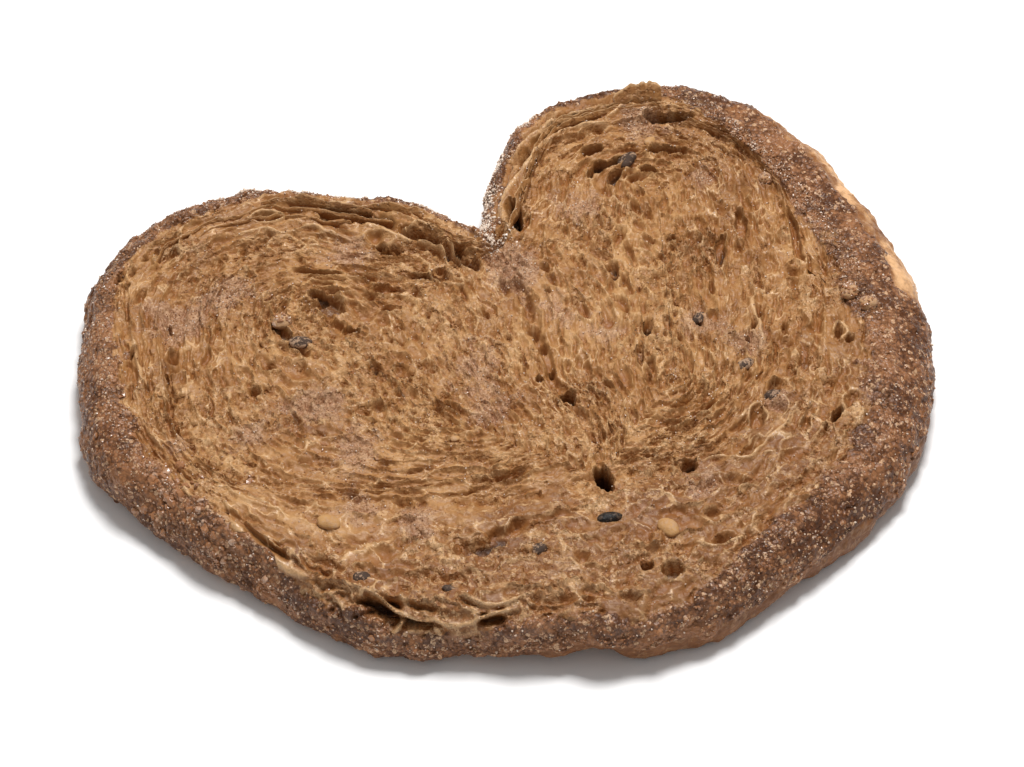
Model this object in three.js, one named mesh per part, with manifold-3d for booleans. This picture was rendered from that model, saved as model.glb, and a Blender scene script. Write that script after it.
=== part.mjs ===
// A palmier: a heart of puff pastry, folded from both sides to the middle, cut into a slice and
// baked lying flat. Two coils of folded layers meet at a seam, outer layers wrap round both, and a
// sugared crust rounds off the rim. Seeds and sugar lumps are baked on, so it is all one solid.
//
// Millimetres, +Z up. The cleft between the lobes points to +Y and the tip to -Y. The plan below has
// an origin of its own. The finished solid is moved so that the origin lies on the resting plane,
// under the middle of the solid's box.

import * as THREE from "three";
import { mergeVertices } from "three/addons/utils/BufferGeometryUtils.js";
import Module from "manifold-3d";

const wasm = await Module();
wasm.setup();

// ---- driving dimensions -------------------------------------------------------------------------

const THICKNESS = 11; // resting plane to the top of the outer layers at their inner edge
const LIP_HEIGHT = 3.2; // height of the widest line of the rim
const COIL_RISE = 1.2; // how far a coil's middle stands above its edge
const WRAP_RISE = 0.9; // the same for the outer layers
const LAYER_RELIEF = 1.5; // crest to valley of one folded layer
const CRAG_RELIEF = 0.55; // unevenness of the sugared crust
const CRUMB_RELIEF = 0.45; // unevenness of the cut layers
const COIL_LAYERS = 6; // folded layers from a coil's crease to its edge
const WRAP_LAYERS = 4; // layers that run round both coils
const SHOULDER_MIN = 5.2; // width of the sugared shoulder on the left and at the back
const SHOULDER_MAX = 9.0; // the same on the right
const SHOULDER_AT_CLEFT = 4.7; // the same beside the cleft
const VALLEY_DROP = 1.2; // how far the edges between coils and outer layers lie under THICKNESS
const VALLEY_SWELL = 0.5; // how far those edges rise and fall along the way
const ARCH_LIFT = 2.2; // how far the rim lifts off the table at the front
const ARCH_PLACE = 12.35; // where it lifts, counted in rows of HEART
const ARCH_SPAN = 0.55; // half of the lifted stretch, in rows
const FOOT_INSET = 3.4; // rim to the edge of the underside
const SOLE_INSET = 8; // rim to where the underside is flat
const UNDERSIDE_MIDDLE = [2, -8];

// How the sizes change over the plan: the stretches, in mm or in rows, over which they ease in.
const WIDENING = { fromX: -20, over: 75 }; // the shoulder, from left to right
const NARROWING = { fromY: 20, over: 25, share: 0.6 }; // and back again behind the lobes
const CLEFT_WIDTH_ROWS = 2.5; // rows from the cleft to the shoulder's full width
const CLEFT_TURN_ROWS = 0.8; // rows over which the way inwards turns down the seam
const COIL_EDGE_BAND = 0.22; // share of a coil over which its relief fades to the edge
const WRAP_EDGE_BAND = 0.2; // the same for the outer layers
const CREASE_SPREAD = 0.62; // how slowly the layers' ends move along a crease

// Distances between swells, in mm.
const SWELL_SIZE = 19; // of the valleys
const PATCH_SIZE = 9; // of stronger and weaker layers
const CRUMB_SIZE = 2.3;
const COARSE_CRUMB_SIZE = 5.1;
const CRAG_SIZE = 1.7;

// The heart's rim, from the cleft over the left lobe to the tip and back over the right one. Each
// row is a point of the rim, x and y, and the point of the coils' edge straight across from it.
const HEART = [
  [5.5, 24, 5.2, 19.3],
  [1.5, 33.5, -1, 20.5],
  [-10, 40.5, -12.5, 28],
  [-24, 47, -24.5, 34],
  [-40, 46.5, -35.5, 33],
  [-52, 38.5, -42.5, 27],
  [-59.5, 23, -48, 14],
  [-63.3, 5.5, -50, 1.5],
  [-58.3, -8.3, -46.5, -8],
  [-50, -22, -38.5, -15],
  [-38, -39, -27, -21],
  [-24, -47, -16.5, -25],
  [-12, -52, -6, -27.5],
  [-1, -56.3, 3.8, -28.2],
  [11, -56.3, 12, -30.2],
  [25, -52, 21, -30],
  [39, -46, 29.5, -25.5],
  [50.5, -37, 37.5, -16],
  [59.5, -22.5, 44.5, -4],
  [64.5, -4, 49, 9],
  [63.5, 12.5, 50, 20],
  [59.5, 29, 47, 29],
  [49, 42, 38.5, 35.5],
  [36, 46.8, 29, 37],
  [22, 46, 20, 35],
  [13, 38, 13.3, 26.7],
  [8, 29.5, 8.8, 21.5],
  [5.5, 24, 5.2, 19.3],
];
const TIP_ROW = 13; // the row where the coils part, under the seam
const LAST_ROW = HEART.length - 1;

// Where the coils meet, from the cleft down, and each coil's crease, the fold that it starts from.
const SEAM = [[5.2, 19.3], [6.2, 8.5], [4.2, -8], [5.6, -19], [3.8, -28.2]];
const LEFT_CREASE = [[-24, 17], [-16, -8]];
const RIGHT_CREASE = [[33, 21], [21, -14]];

// Mesh fineness.
const LEFT_STATIONS = 60; // steps along the rim from the cleft to the tip
const RIGHT_STATIONS = 64; // and from the tip back to the cleft
const SEAM_STATIONS = 12;
const RINGS_PER_LAYER = 2;
const SHOULDER_STEPS = 4;
const CREASE_STEPS = 8;
const WELD = 0.001; // points closer than this are one point

// ---- small helpers ------------------------------------------------------------------------------

// A repeatable random number from 0 to 1 for a pair of whole numbers.
function hash(i, j) {
  const s = Math.sin(i * 127.1 + j * 311.7) * 43758.5453;
  return s - Math.floor(s);
}

const ease = (f) => f * f * (3 - 2 * f);
const clamp01 = (f) => Math.min(1, Math.max(0, f));
const mix = (a, b, f) => a + (b - a) * f;

// Smooth bumps from -1 to 1 over the plane, about `size` mm apart.
function bumps(x, y, size) {
  const i = Math.floor(x / size);
  const j = Math.floor(y / size);
  const fx = ease(x / size - i);
  const fy = ease(y / size - j);
  const low = mix(hash(i, j), hash(i + 1, j), fx);
  const high = mix(hash(i, j + 1), hash(i + 1, j + 1), fx);
  return 2 * mix(low, high, fy) - 1;
}

function smoothCurve(points) {
  const corners = points.map(([x, y]) => new THREE.Vector3(x, y, 0));
  return new THREE.CatmullRomCurve3(corners, false, "centripetal");
}

// Curve parameters that cut the stretch between two rows into equal lengths.
function evenStations(curve, from, to, count) {
  const fine = count * 8;
  const at = (k) => curve.getPoint(mix(from, to, k / fine) / LAST_ROW);
  const lengths = [0];
  for (let k = 1; k <= fine; k++) {
    lengths.push(lengths[k - 1] + at(k).distanceTo(at(k - 1)));
  }
  const stations = [];
  for (let n = 0, k = 0; n <= count; n++) {
    const wanted = (lengths[fine] * n) / count;
    while (k < fine - 1 && lengths[k + 1] < wanted) k++;
    const part = clamp01((wanted - lengths[k]) / (lengths[k + 1] - lengths[k]));
    stations.push(mix(from, to, (k + part) / fine));
  }
  return stations;
}

// ---- the heart's plan ---------------------------------------------------------------------------

const rimCurve = smoothCurve(HEART.map((row) => [row[0], row[1]]));
const coilCurve = smoothCurve(HEART.map((row) => [row[2], row[3]]));
const seamCurve = smoothCurve(SEAM);

const rimPoint = (row) => rimCurve.getPoint(row / LAST_ROW);
const coilPoint = (row) => coilCurve.getPoint(row / LAST_ROW);

// The way inwards from the rim. Beside the cleft it turns to run straight down the seam.
function inward(row) {
  const along = rimCurve.getTangent(clamp01(row / LAST_ROW));
  const fromCleft = Math.min(row, LAST_ROW - row);
  const turn = ease(clamp01(fromCleft / CLEFT_TURN_ROWS));
  return new THREE.Vector3(mix(0, -along.y, turn), mix(-1, along.x, turn), 0).normalize();
}

function shoulderWidth(row) {
  const { x, y } = rimPoint(row);
  const rightness = ease(clamp01((x - WIDENING.fromX) / WIDENING.over));
  const behind = ease(clamp01((y - NARROWING.fromY) / NARROWING.over));
  const width = mix(SHOULDER_MIN, SHOULDER_MAX, rightness * (1 - NARROWING.share * behind));
  const fromCleft = ease(clamp01(Math.min(row, LAST_ROW - row) / CLEFT_WIDTH_ROWS));
  return mix(SHOULDER_AT_CLEFT, width, fromCleft);
}

function inset(row, distance) {
  return rimPoint(row).addScaledVector(inward(row), distance);
}

function archLift(row) {
  const off = Math.abs(row - ARCH_PLACE) / ARCH_SPAN;
  return off < 1 ? ARCH_LIFT * (1 - ease(off)) : 0;
}

// ---- heights ------------------------------------------------------------------------------------

// The height at the edges where coils and outer layers meet: a shallow valley everywhere.
function valleyHeight(x, y) {
  return THICKNESS - VALLEY_DROP + VALLEY_SWELL * bumps(x, y, SWELL_SIZE);
}

// One layer's rounded back, with a sharp valley on either side of it. Layers stand out by turns
// more and less; their patches lie aside from the crumb's.
function layerBack(phase, x, y) {
  const aside = 40;
  const strength = 0.75 + 0.45 * bumps(x + aside, y, PATCH_SIZE);
  return LAYER_RELIEF * strength * (Math.abs(Math.sin(Math.PI * phase)) - 0.5);
}

function crumb(x, y) {
  return CRUMB_RELIEF * (bumps(x, y, CRUMB_SIZE) + 0.6 * bumps(x, y, COARSE_CRUMB_SIZE));
}

function coilHeight(x, y, spread) {
  const inside = ease(clamp01((1 - spread) / COIL_EDGE_BAND));
  const rise = COIL_RISE * (1 - spread ** 3);
  const relief = layerBack(COIL_LAYERS * spread, x, y) + crumb(x, y);
  return valleyHeight(x, y) + rise + inside * relief;
}

function wrapHeight(x, y, across) {
  const inside = ease(clamp01(across / WRAP_EDGE_BAND));
  const relief = layerBack(WRAP_LAYERS * across, x, y) + crumb(x, y);
  return valleyHeight(x, y) + inside * (WRAP_RISE + relief);
}

// ---- the main body ------------------------------------------------------------------------------

// Collects rings of points and the faces between them.
class Shell {
  constructor() {
    this.positions = [];
    this.faces = [];
  }

  point(x, y, z) {
    this.positions.push(x, y, z);
    return this.positions.length / 3 - 1;
  }

  // Faces between two rows of points. Seen from outside, the second row is to the left of the first.
  strip(first, second) {
    for (let k = 0; k + 1 < first.length; k++) {
      this.faces.push([first[k], first[k + 1], second[k + 1]], [first[k], second[k + 1], second[k]]);
    }
  }

  fan(ring, centre) {
    for (let k = 0; k + 1 < ring.length; k++) this.faces.push([ring[k], ring[k + 1], centre]);
  }

  solid() {
    const geometry = new THREE.BufferGeometry();
    geometry.setAttribute("position", new THREE.Float32BufferAttribute(this.positions, 3));
    geometry.setIndex(this.faces.flat());
    return toSolid(geometry);
  }
}

// A closed geometry as a solid that can be joined and cut.
function toSolid(geometry) {
  geometry.deleteAttribute("normal");
  geometry.deleteAttribute("uv");
  const merged = mergeVertices(geometry, WELD);
  const index = merged.index.array;
  const kept = [];
  for (let k = 0; k < index.length; k += 3) {
    const [a, b, c] = [index[k], index[k + 1], index[k + 2]];
    if (a !== b && b !== c && c !== a) kept.push(a, b, c);
  }
  return new wasm.Manifold(new wasm.Mesh({
    numProp: 3,
    vertProperties: new Float32Array(merged.attributes.position.array),
    triVerts: new Uint32Array(kept),
  }));
}

// A coil: rings that shrink from its edge to its crease. The edge runs anticlockwise.
function addCoil(shell, edge, crease) {
  const start = new THREE.Vector3(...crease[0], 0);
  const fold = new THREE.Vector3(...crease[1], 0).sub(start);
  const closed = [...edge, edge[0]];
  const shares = closed.map((p) => {
    const along = p.clone().sub(start).dot(fold) / fold.lengthSq();
    return ease(clamp01(0.5 + (along - 0.5) * CREASE_SPREAD));
  });
  const onCrease = (share) => start.clone().addScaledVector(fold, share);
  const rings = COIL_LAYERS * RINGS_PER_LAYER;
  let outer = null;
  for (let r = rings; r >= 1; r--) {
    const spread = r / rings;
    const ring = closed.map((p, k) => {
      const place = onCrease(shares[k]).lerp(p, spread);
      return shell.point(place.x, place.y, coilHeight(place.x, place.y, spread));
    });
    if (outer) shell.strip(outer, ring);
    outer = ring;
  }
  const creaseRow = shares.map((share) => {
    const foot = onCrease(Math.round(share * CREASE_STEPS) / CREASE_STEPS);
    return shell.point(foot.x, foot.y, coilHeight(foot.x, foot.y, 0));
  });
  shell.strip(outer, creaseRow);
}

// Below the rim the crust draws in to the underside: how far, how high, and whether it lifts with
// the arch at the front.
const FEET = [
  { distance: 0.3 * FOOT_INSET, height: 1.2, lifted: 1 },
  { distance: FOOT_INSET, height: 0, lifted: 1 },
  { distance: SOLE_INSET, height: 0, lifted: 0 },
];

// A point of the sugared shoulder: `turn` goes from 0 on the outer layers to a quarter turn at the
// rim. Each ring has crags of its own.
function shoulderPoint(row, turn, ringNumber) {
  const top = inset(row, shoulderWidth(row));
  const height = wrapHeight(top.x, top.y, 1);
  const nextCrags = 5.7 * ringNumber;
  const rough = CRAG_RELIEF * bumps(top.x + nextCrags, top.y, CRAG_SIZE);
  const distance = shoulderWidth(row) * (1 - Math.sin(turn)) - 0.5 * rough * Math.sin(turn);
  const p = inset(row, distance);
  const lip = LIP_HEIGHT + archLift(row);
  return [p.x, p.y, lip + (height - lip) * Math.cos(turn) + rough * Math.sin(2 * turn)];
}

// The outer layers, the sugared shoulder, the rim and the underside, ring by ring.
function addWrap(shell, stations) {
  const edge = stations.map((row) => {
    const p = coilPoint(row);
    return shell.point(p.x, p.y, coilHeight(p.x, p.y, 1));
  });
  const rings = WRAP_LAYERS * RINGS_PER_LAYER;
  let inner = edge;
  for (let r = 1; r <= rings; r++) {
    const across = r / rings;
    const ring = stations.map((row) => {
      const p = coilPoint(row).lerp(inset(row, shoulderWidth(row)), across);
      return shell.point(p.x, p.y, wrapHeight(p.x, p.y, across));
    });
    shell.strip(ring, inner);
    inner = ring;
  }
  for (let s = 1; s <= SHOULDER_STEPS; s++) {
    const turn = (s / SHOULDER_STEPS) * (Math.PI / 2);
    const ring = stations.map((row) => shell.point(...shoulderPoint(row, turn, s)));
    shell.strip(ring, inner);
    inner = ring;
  }
  for (const { distance, height, lifted } of FEET) {
    const ring = stations.map((row) => {
      const p = inset(row, distance);
      return shell.point(p.x, p.y, height + lifted * archLift(row));
    });
    shell.strip(ring, inner);
    inner = ring;
  }
  shell.fan(inner.reverse(), shell.point(...UNDERSIDE_MIDDLE, 0));
}

function mainBody() {
  const leftRows = evenStations(rimCurve, 0, TIP_ROW, LEFT_STATIONS);
  const rightRows = evenStations(rimCurve, TIP_ROW, LAST_ROW, RIGHT_STATIONS);
  const seam = [];
  for (let k = 1; k < SEAM_STATIONS; k++) seam.push(seamCurve.getPoint(k / SEAM_STATIONS));
  const shell = new Shell();
  addCoil(shell, [...leftRows.map(coilPoint), ...seam.slice().reverse()], LEFT_CREASE);
  addCoil(shell, [...rightRows.map(coilPoint), ...seam], RIGHT_CREASE);
  addWrap(shell, [...leftRows, ...rightRows.slice(1)]);
  return shell.solid();
}

// ---- pockets between layers, standing layers, seeds and sugar -----------------------------------

// A place on the outer layers: `across` is 0 at the coils' edge and 1 at the shoulder.
function onWrap(row, across) {
  const p = coilPoint(row).lerp(inset(row, shoulderWidth(row)), across);
  p.z = wrapHeight(p.x, p.y, across);
  return p;
}

// A rounded lump or cutter: length along `heading`, width across it, height up and down.
function lump(x, y, z, length, width, height, heading, sides = 6, slices = 4) {
  const geometry = new THREE.SphereGeometry(0.5, sides, slices);
  geometry.rotateX(Math.PI / 2);
  geometry.scale(length, width, height);
  geometry.rotateZ(THREE.MathUtils.degToRad(heading));
  geometry.translate(x, y, z);
  return toSolid(geometry);
}

// Open pockets between the layers: x, y, length, width, depth, heading in degrees.
const POCKETS = [
  [-34.4, -37, 8.4, 2.4, 7, -40],
  [-32, -42.2, 8.6, 2.0, 7, -36],
  [-20.4, -45.2, 5.4, 1.5, 6, -22],
  [-41.2, -33.6, 3.6, 1.6, 4, -50],
  [4.1, -27.4, 4.6, 3.4, 9, -60],
  [5.4, -10.6, 3.4, 2.2, 6, -75],
  [-8.4, 34.2, 9, 2.2, 6, -32],
  [-2.6, 28.6, 8, 2.4, 6, -42],
  [41.3, 39.2, 9, 2.0, 6, -22],
  [27.8, 41.6, 7.5, 1.6, 6, 8],
  [16.8, 38.6, 5, 2.2, 6, 50],
  [12.8, 28.4, 5.6, 2.0, 7, 72],
  [-20.3, 20, 3.4, 2.8, 5, -20],
  [-15.6, 16.6, 4.4, 2.4, 4, -30],
  [24, 10, 7.6, 1.3, 4, -84],
  [-45.4, -7.2, 4, 1.4, 4, -48],
  [40.3, -28.7, 2, 1.4, 5, 40],
];

// Layers that stand up from the rest: first and last row of HEART, across, height, thickness.
const STANDING_LAYERS = [
  [1.3, 3.0, 0.97, 1.7, 0.9],
  [1.8, 4.4, 0.7, 1.1, 0.8],
  [23.2, 25.6, 0.96, 1.6, 0.9],
  [21.9, 24.3, 0.72, 1.1, 0.8],
  [25.1, 26.4, 0.5, 1.3, 1.5],
  [22.2, 23.4, 0.98, 2.6, 2.2],
  [9.4, 12.4, 0.74, 0.8, 0.8],
  [14.5, 17.4, 0.55, 0.8, 0.9],
];
const STANDING_STEPS = 5;
const ROOT_DEPTH = 2; // how far a standing layer reaches down into the rest
const END_TAPER = 0.12; // share of a standing layer that its end cuts off its arched top edge
const EDGE_THICKNESS = 0.4; // thickness at its top edge, as a share of that at its root
const LEAN = 0.5; // how far its top edge leans outwards, in half thicknesses

// Pale seeds and dark seeds: x, y, heading.
const PALE_SEEDS = [
  [8.5, -40.5, -40], [-36.6, -21.7, 10], [50.2, 19.5, -60], [52.2, -8.3, 30], [54, -11.8, -20],
  [-28.8, 18.7, 0], [36.9, 32.8, 15], [-13.6, -13, 50],
];
const DARK_SEEDS = [
  [1.5, -35.7, -20], [33.3, -22.3, 0], [-35.4, -31.7, -30], [-10.4, -37.6, 20], [-25, -38.7, -40],
  [-27.5, 13.8, -10], [28.8, -5, 20], [31.4, -16, 10], [31.8, 29.7, 31],
];
const PALE_SEED = { length: 3.3, width: 2.5, height: 2.2 };
const DARK_SEED = { length: 3.2, width: 1.9, height: 1.6 };

// Sugar lumps on the crust: where along the rim they lie, how many, and how far they scatter.
const SUGAR_LUMPS = 16;
const SUGAR_FIRST_ROW = 6.6;
const SUGAR_LAST_ROW = 10.4;
const SUGAR_SCATTER = [0.35, 1.6]; // nearest to and farthest from the rim, in shoulder widths
const SUGAR_SIZE = 1.7;
const SUGAR_SPREAD = [0.7, 1.25]; // smallest and largest lump, as shares of that size
const SEED_STANDS_OUT = 0.2; // how far a seed's middle lies over the surface, in seed heights
const SUGAR_STANDS_OUT = 0.15; // the same for a sugar lump

function standingLayer([from, to, across, height, thickness], number) {
  const shell = new Shell();
  const sections = [];
  for (let k = 0; k <= STANDING_STEPS; k++) {
    const f = k / STANDING_STEPS;
    const row = mix(from, to, f);
    const foot = onWrap(row, across);
    const out = inward(row).multiplyScalar(-thickness / 2);
    const jagged = 0.75 + 0.5 * hash(number, k);
    const top = foot.z + height * jagged * Math.sin(Math.PI * mix(END_TAPER, 1 - END_TAPER, f));
    const low = foot.z - ROOT_DEPTH;
    const corner = (share, z) => shell.point(foot.x + share * out.x, foot.y + share * out.y, z);
    sections.push([
      corner(1, low),
      corner(-1, low),
      corner(LEAN - EDGE_THICKNESS, top),
      corner(LEAN + EDGE_THICKNESS, top),
    ]);
  }
  for (let k = 0; k < STANDING_STEPS; k++) {
    const here = [...sections[k], sections[k][0]];
    const next = [...sections[k + 1], sections[k + 1][0]];
    shell.strip(here, next);
  }
  const [a, b, c, d] = sections[0];
  const [e, f, g, h] = sections[STANDING_STEPS];
  shell.faces.push([a, c, b], [a, d, c], [e, f, g], [e, g, h]);
  return shell.solid();
}

// The body's own height above a place, found by dropping a ray on its triangles.
function topFinder(solid) {
  const mesh = new THREE.Mesh(toGeometry(solid), new THREE.MeshBasicMaterial({ side: THREE.DoubleSide }));
  const ray = new THREE.Raycaster();
  const down = new THREE.Vector3(0, 0, -1);
  return (x, y) => {
    ray.set(new THREE.Vector3(x, y, 3 * THICKNESS), down);
    const hit = ray.intersectObject(mesh)[0];
    return hit ? hit.point.z : 0;
  };
}

function toGeometry(solid) {
  const { vertProperties, triVerts } = solid.getMesh();
  const geometry = new THREE.BufferGeometry();
  geometry.setAttribute("position", new THREE.Float32BufferAttribute(vertProperties, 3));
  geometry.setIndex(new THREE.Uint32BufferAttribute(triVerts, 1));
  return geometry;
}

function withPockets(body) {
  const topAt = topFinder(body);
  let carved = body;
  for (const [x, y, length, width, depth, heading] of POCKETS) {
    const cutter = lump(x, y, topAt(x, y), length, width, 2 * depth, heading, 8, 4);
    carved = carved.subtract(cutter);
  }
  return carved;
}

function withToppings(body) {
  const topAt = topFinder(body);
  let whole = body;
  const lay = (places, seed) => {
    for (const [x, y, heading] of places) {
      const z = topAt(x, y) + SEED_STANDS_OUT * seed.height;
      whole = whole.add(lump(x, y, z, seed.length, seed.width, seed.height, heading));
    }
  };
  lay(PALE_SEEDS, PALE_SEED);
  lay(DARK_SEEDS, DARK_SEED);
  for (let k = 0; k < SUGAR_LUMPS; k++) {
    const row = mix(SUGAR_FIRST_ROW, SUGAR_LAST_ROW, (k + hash(k, 1)) / SUGAR_LUMPS);
    const p = inset(row, shoulderWidth(row) * mix(...SUGAR_SCATTER, hash(k, 2)));
    const size = SUGAR_SIZE * mix(...SUGAR_SPREAD, hash(k, 3));
    const z = topAt(p.x, p.y) + SUGAR_STANDS_OUT * size;
    whole = whole.add(lump(p.x, p.y, z, size * 1.2, size, size, 360 * hash(k, 4), 5, 3));
  }
  return whole;
}

// Drops loose scraps and fills sealed hollows, which come apart as shells of their own. Scraps that
// hang on by a single point or edge only come apart once the rest has been welded again.
function largestPiece(solid) {
  const pieces = toSolid(toGeometry(solid)).decompose();
  const [largest] = pieces.sort((a, b) => b.volume() - a.volume());
  return pieces.length > 1 ? largestPiece(largest) : largest;
}

function buildPastry() {
  let body = withPockets(mainBody());
  STANDING_LAYERS.forEach((layer, number) => {
    body = body.add(standingLayer(layer, number));
  });
  return toGeometry(largestPiece(withToppings(body)));
}

const bakedPastry = new THREE.MeshStandardMaterial({ color: 0x9d7351, roughness: 0.72, metalness: 0 });

// Moves a geometry so that the middle of its box is over the origin.
function centred(geometry) {
  geometry.computeBoundingBox();
  const middle = geometry.boundingBox.getCenter(new THREE.Vector3());
  return geometry.translate(-middle.x, -middle.y, 0);
}

const palmier = new THREE.Group();
const pastry = new THREE.Mesh(centred(buildPastry()), bakedPastry);
pastry.name = "pastry";
palmier.add(pastry);

export default palmier;
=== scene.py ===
"""A palmier: a heart of folded puff pastry, baked golden brown and crusted with sugar.

Two coils of thin layers meet at a seam, outer layers run round both, and a sugared crust rounds
off the rim. Plan measures are in millimetres, with +Y from the tip to the cleft between the lobes.
"""

import itertools
import logging
import math
from collections.abc import Callable
from dataclasses import dataclass
from enum import Enum

import bpy
import numpy as np
from mathutils import Matrix, Vector


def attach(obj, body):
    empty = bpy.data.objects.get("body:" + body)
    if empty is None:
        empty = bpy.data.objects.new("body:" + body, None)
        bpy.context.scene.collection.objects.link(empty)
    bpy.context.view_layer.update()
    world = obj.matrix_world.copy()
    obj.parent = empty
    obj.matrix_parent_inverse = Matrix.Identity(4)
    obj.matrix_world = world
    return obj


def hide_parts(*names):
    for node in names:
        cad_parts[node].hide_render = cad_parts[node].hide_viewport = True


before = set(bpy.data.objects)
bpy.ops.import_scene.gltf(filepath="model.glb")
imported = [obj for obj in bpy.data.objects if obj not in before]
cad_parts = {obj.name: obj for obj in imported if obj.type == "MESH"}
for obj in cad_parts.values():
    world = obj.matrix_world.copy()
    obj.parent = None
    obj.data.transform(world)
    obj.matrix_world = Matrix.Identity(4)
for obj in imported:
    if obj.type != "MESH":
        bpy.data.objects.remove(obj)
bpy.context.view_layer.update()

Array = np.ndarray
Piece = bpy.types.Object
Tree = bpy.types.NodeTree
Material = bpy.types.Material
Colour = tuple[float, float, float, float]

LOG = logging.getLogger("palmier")
MM = 0.001
WELD = 0.002  # mm; points closer than this are one point
PLAN_MIDDLE = (0.755, -4.605)  # mm; the plan's own box centre, which lies over the origin
NODE = "pastry"
BODY = "root"
GRAIN = "grain"  # the attribute with coordinates that run with the layers
COLOUR = "NodeSocketColor"
NUMBER = "NodeSocketFloat"
VECTOR = "NodeSocketVector"


class Slot(Enum):
    """Names of material slots, one for each kind of finish."""

    LAYERS = "baked_layers"
    CRUST = "sugared_crust"
    PALE_SEED = "pale_seed"
    DARK_SEED = "dark_seed"
    SUGAR = "sugar"


class Side(Enum):
    """The heart's two lobes, as seen from the tip."""

    LEFT = "left"
    RIGHT = "right"


class Mask(Enum):
    """Numbers from 0 to 1 that each point of a surface carries for its finish."""

    # How deep in a pore a point lies, which the finish paints as warmer pastry with painted shade.
    PORE = "pore"
    # Where walls, lips, ridges and flake edges stand up, which the finish paints with the pale
    # crest colour and a painted highlight.
    CREST = "crest"
    DUST = "dust"
    TOAST = "toast"
    SUGAR = "sugar"
    FLAKES = "flakes"


# ---- the heart's plan --------------------------------------------------------------------------

# The rim from the cleft over the left lobe to the tip and back over the right one: a point of the
# rim, x and y, and the point of the coils' edge straight across from it.
HEART = (
    (5.5, 24, 5.2, 19.3), (1.5, 33.5, -1, 20.5), (-10, 40.5, -12.5, 28), (-24, 47, -24.5, 34),
    (-40, 46.5, -35.5, 33), (-52, 38.5, -42.5, 27), (-59.5, 23, -48, 14), (-63.3, 5.5, -50, 1.5),
    (-58.3, -8.3, -46.5, -8), (-50, -22, -38.5, -15), (-38, -39, -27, -21), (-24, -47, -16.5, -25),
    (-12, -52, -6, -27.5), (-1, -56.3, 3.8, -28.2), (11, -56.3, 12, -30.2), (25, -52, 21, -30),
    (39, -46, 29.5, -25.5), (50.5, -37, 37.5, -16), (59.5, -22.5, 44.5, -4), (64.5, -4, 49, 9),
    (63.5, 12.5, 50, 20), (59.5, 29, 47, 29), (49, 42, 38.5, 35.5), (36, 46.8, 29, 37),
    (22, 46, 20, 35), (13, 38, 13.3, 26.7), (8, 29.5, 8.8, 21.5), (5.5, 24, 5.2, 19.3),
)
TIP_ROW = 13
LAST_ROW = len(HEART) - 1
SEAM = ((5.2, 19.3), (6.2, 8.5), (4.2, -8), (5.6, -19), (3.8, -28.2))
CREASES = {
    Side.LEFT: ((-24, 17), (-16, -8)),
    Side.RIGHT: ((33, 21), (21, -14)),
}

THICKNESS = 11.0
VALLEY_DROP = 1.2  # how far the edges between coils and outer layers lie under that
LIP_HEIGHT = 3.2
COIL_RISE = 1.2
WRAP_RISE = 0.9
SHOULDER_MIN = 5.2
SHOULDER_MAX = 9.0
SHOULDER_AT_CLEFT = 4.7
ARCH_LIFT = 2.2
ARCH_PLACE = 12.35
ARCH_SPAN = 0.55
FOOT_INSET = 3.4
SOLE_INSET = 8.0
CUT_FACE_FROM = 8.0  # mm; the cut face lies higher than this
THINNEST = 1.0  # mm; what is left under the deepest pocket
UNDERSIDE_GAP = 0.17  # mm; how far the underside stands off the table between its highest spots
FLOOR_GAP = 0.02  # mm; how near the table anything comes

# How far across the outer layers places lie: 0 at the coils' edge, 1 at the shoulder's top, then on
# by the angle that the shoulder turns through.
RIM_ACROSS = 1.0 + math.pi / 2
MOST_UNDER_CRUST = 0.56
LEAST_UNDER_CRUST = 0.3
WIDEST_ACROSS = 2.45
CRUST_OVERLAP = 0.1
BEHIND_ROWS = (18.3, 21.2)  # rows of HEART between which the crust rises behind the right lobe
ROW_FADE = 0.4

UNDERSIDE = {Mask.TOAST: 0.85, Mask.FLAKES: 0.7}  # its masks; it carries none of the others
INNER_WALL_TOAST = 0.3
TOASTED = (0.55, 0.95)  # lightest and darkest tone of sugar that has browned in the oven

# Places where the layers lie far apart (positive) or close together (negative): x, y, radius, how
# much.
OPEN_PATCHES = (
    (-4, 20, 9, 0.9), (-22, 37, 9, 0.75), (-10, 29, 8, 0.9), (-50, 14, 7, 0.45), (-19, 17, 5, 0.5),
    (45, -17, 8, 0.15), (39, -29, 7, 0.4), (28, -28, 8, 0.4), (10, -27, 9, 0.4), (38, -14, 8, 0.4),
    (-30, -38, 9, 0.6), (-14, -45, 9, 0.4), (20, 10, 7, 0.3), (28, 30, 12, 0.2),
    (-9, -14, 11, -0.45), (-22, -18, 9, -0.4), (-40, -12, 8, -0.35), (-38, 26, 9, -0.3),
    (22, -10, 8, -0.3),
)

# Patches of pale, greyish sugar dust: x, y, radius.
DUST_PATCHES = (
    (-51.5, 0.5, 4), (-42.7, -0.9, 4), (-27.4, -10.2, 5), (-32.5, 1.3, 5), (-28.4, -0.3, 4),
    (-45, 24, 6), (-15, 27, 5), (-34, 25, 6), (10.6, 5.5, 5), (22.7, 23.0, 5), (40.4, 21.6, 4),
    (36.5, 35.9, 6), (5.4, 16.5, 5), (7.4, 13.4, 4), (13.8, -2.3, 4), (28.4, -6.1, 4),
    (33.7, -12.5, 4), (-6, -10, 7), (-2, 0, 6), (-31, -21, 5), (-24, -27, 5), (16, -37, 5),
    (5, -38, 4), (34, -24, 4),
)

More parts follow.
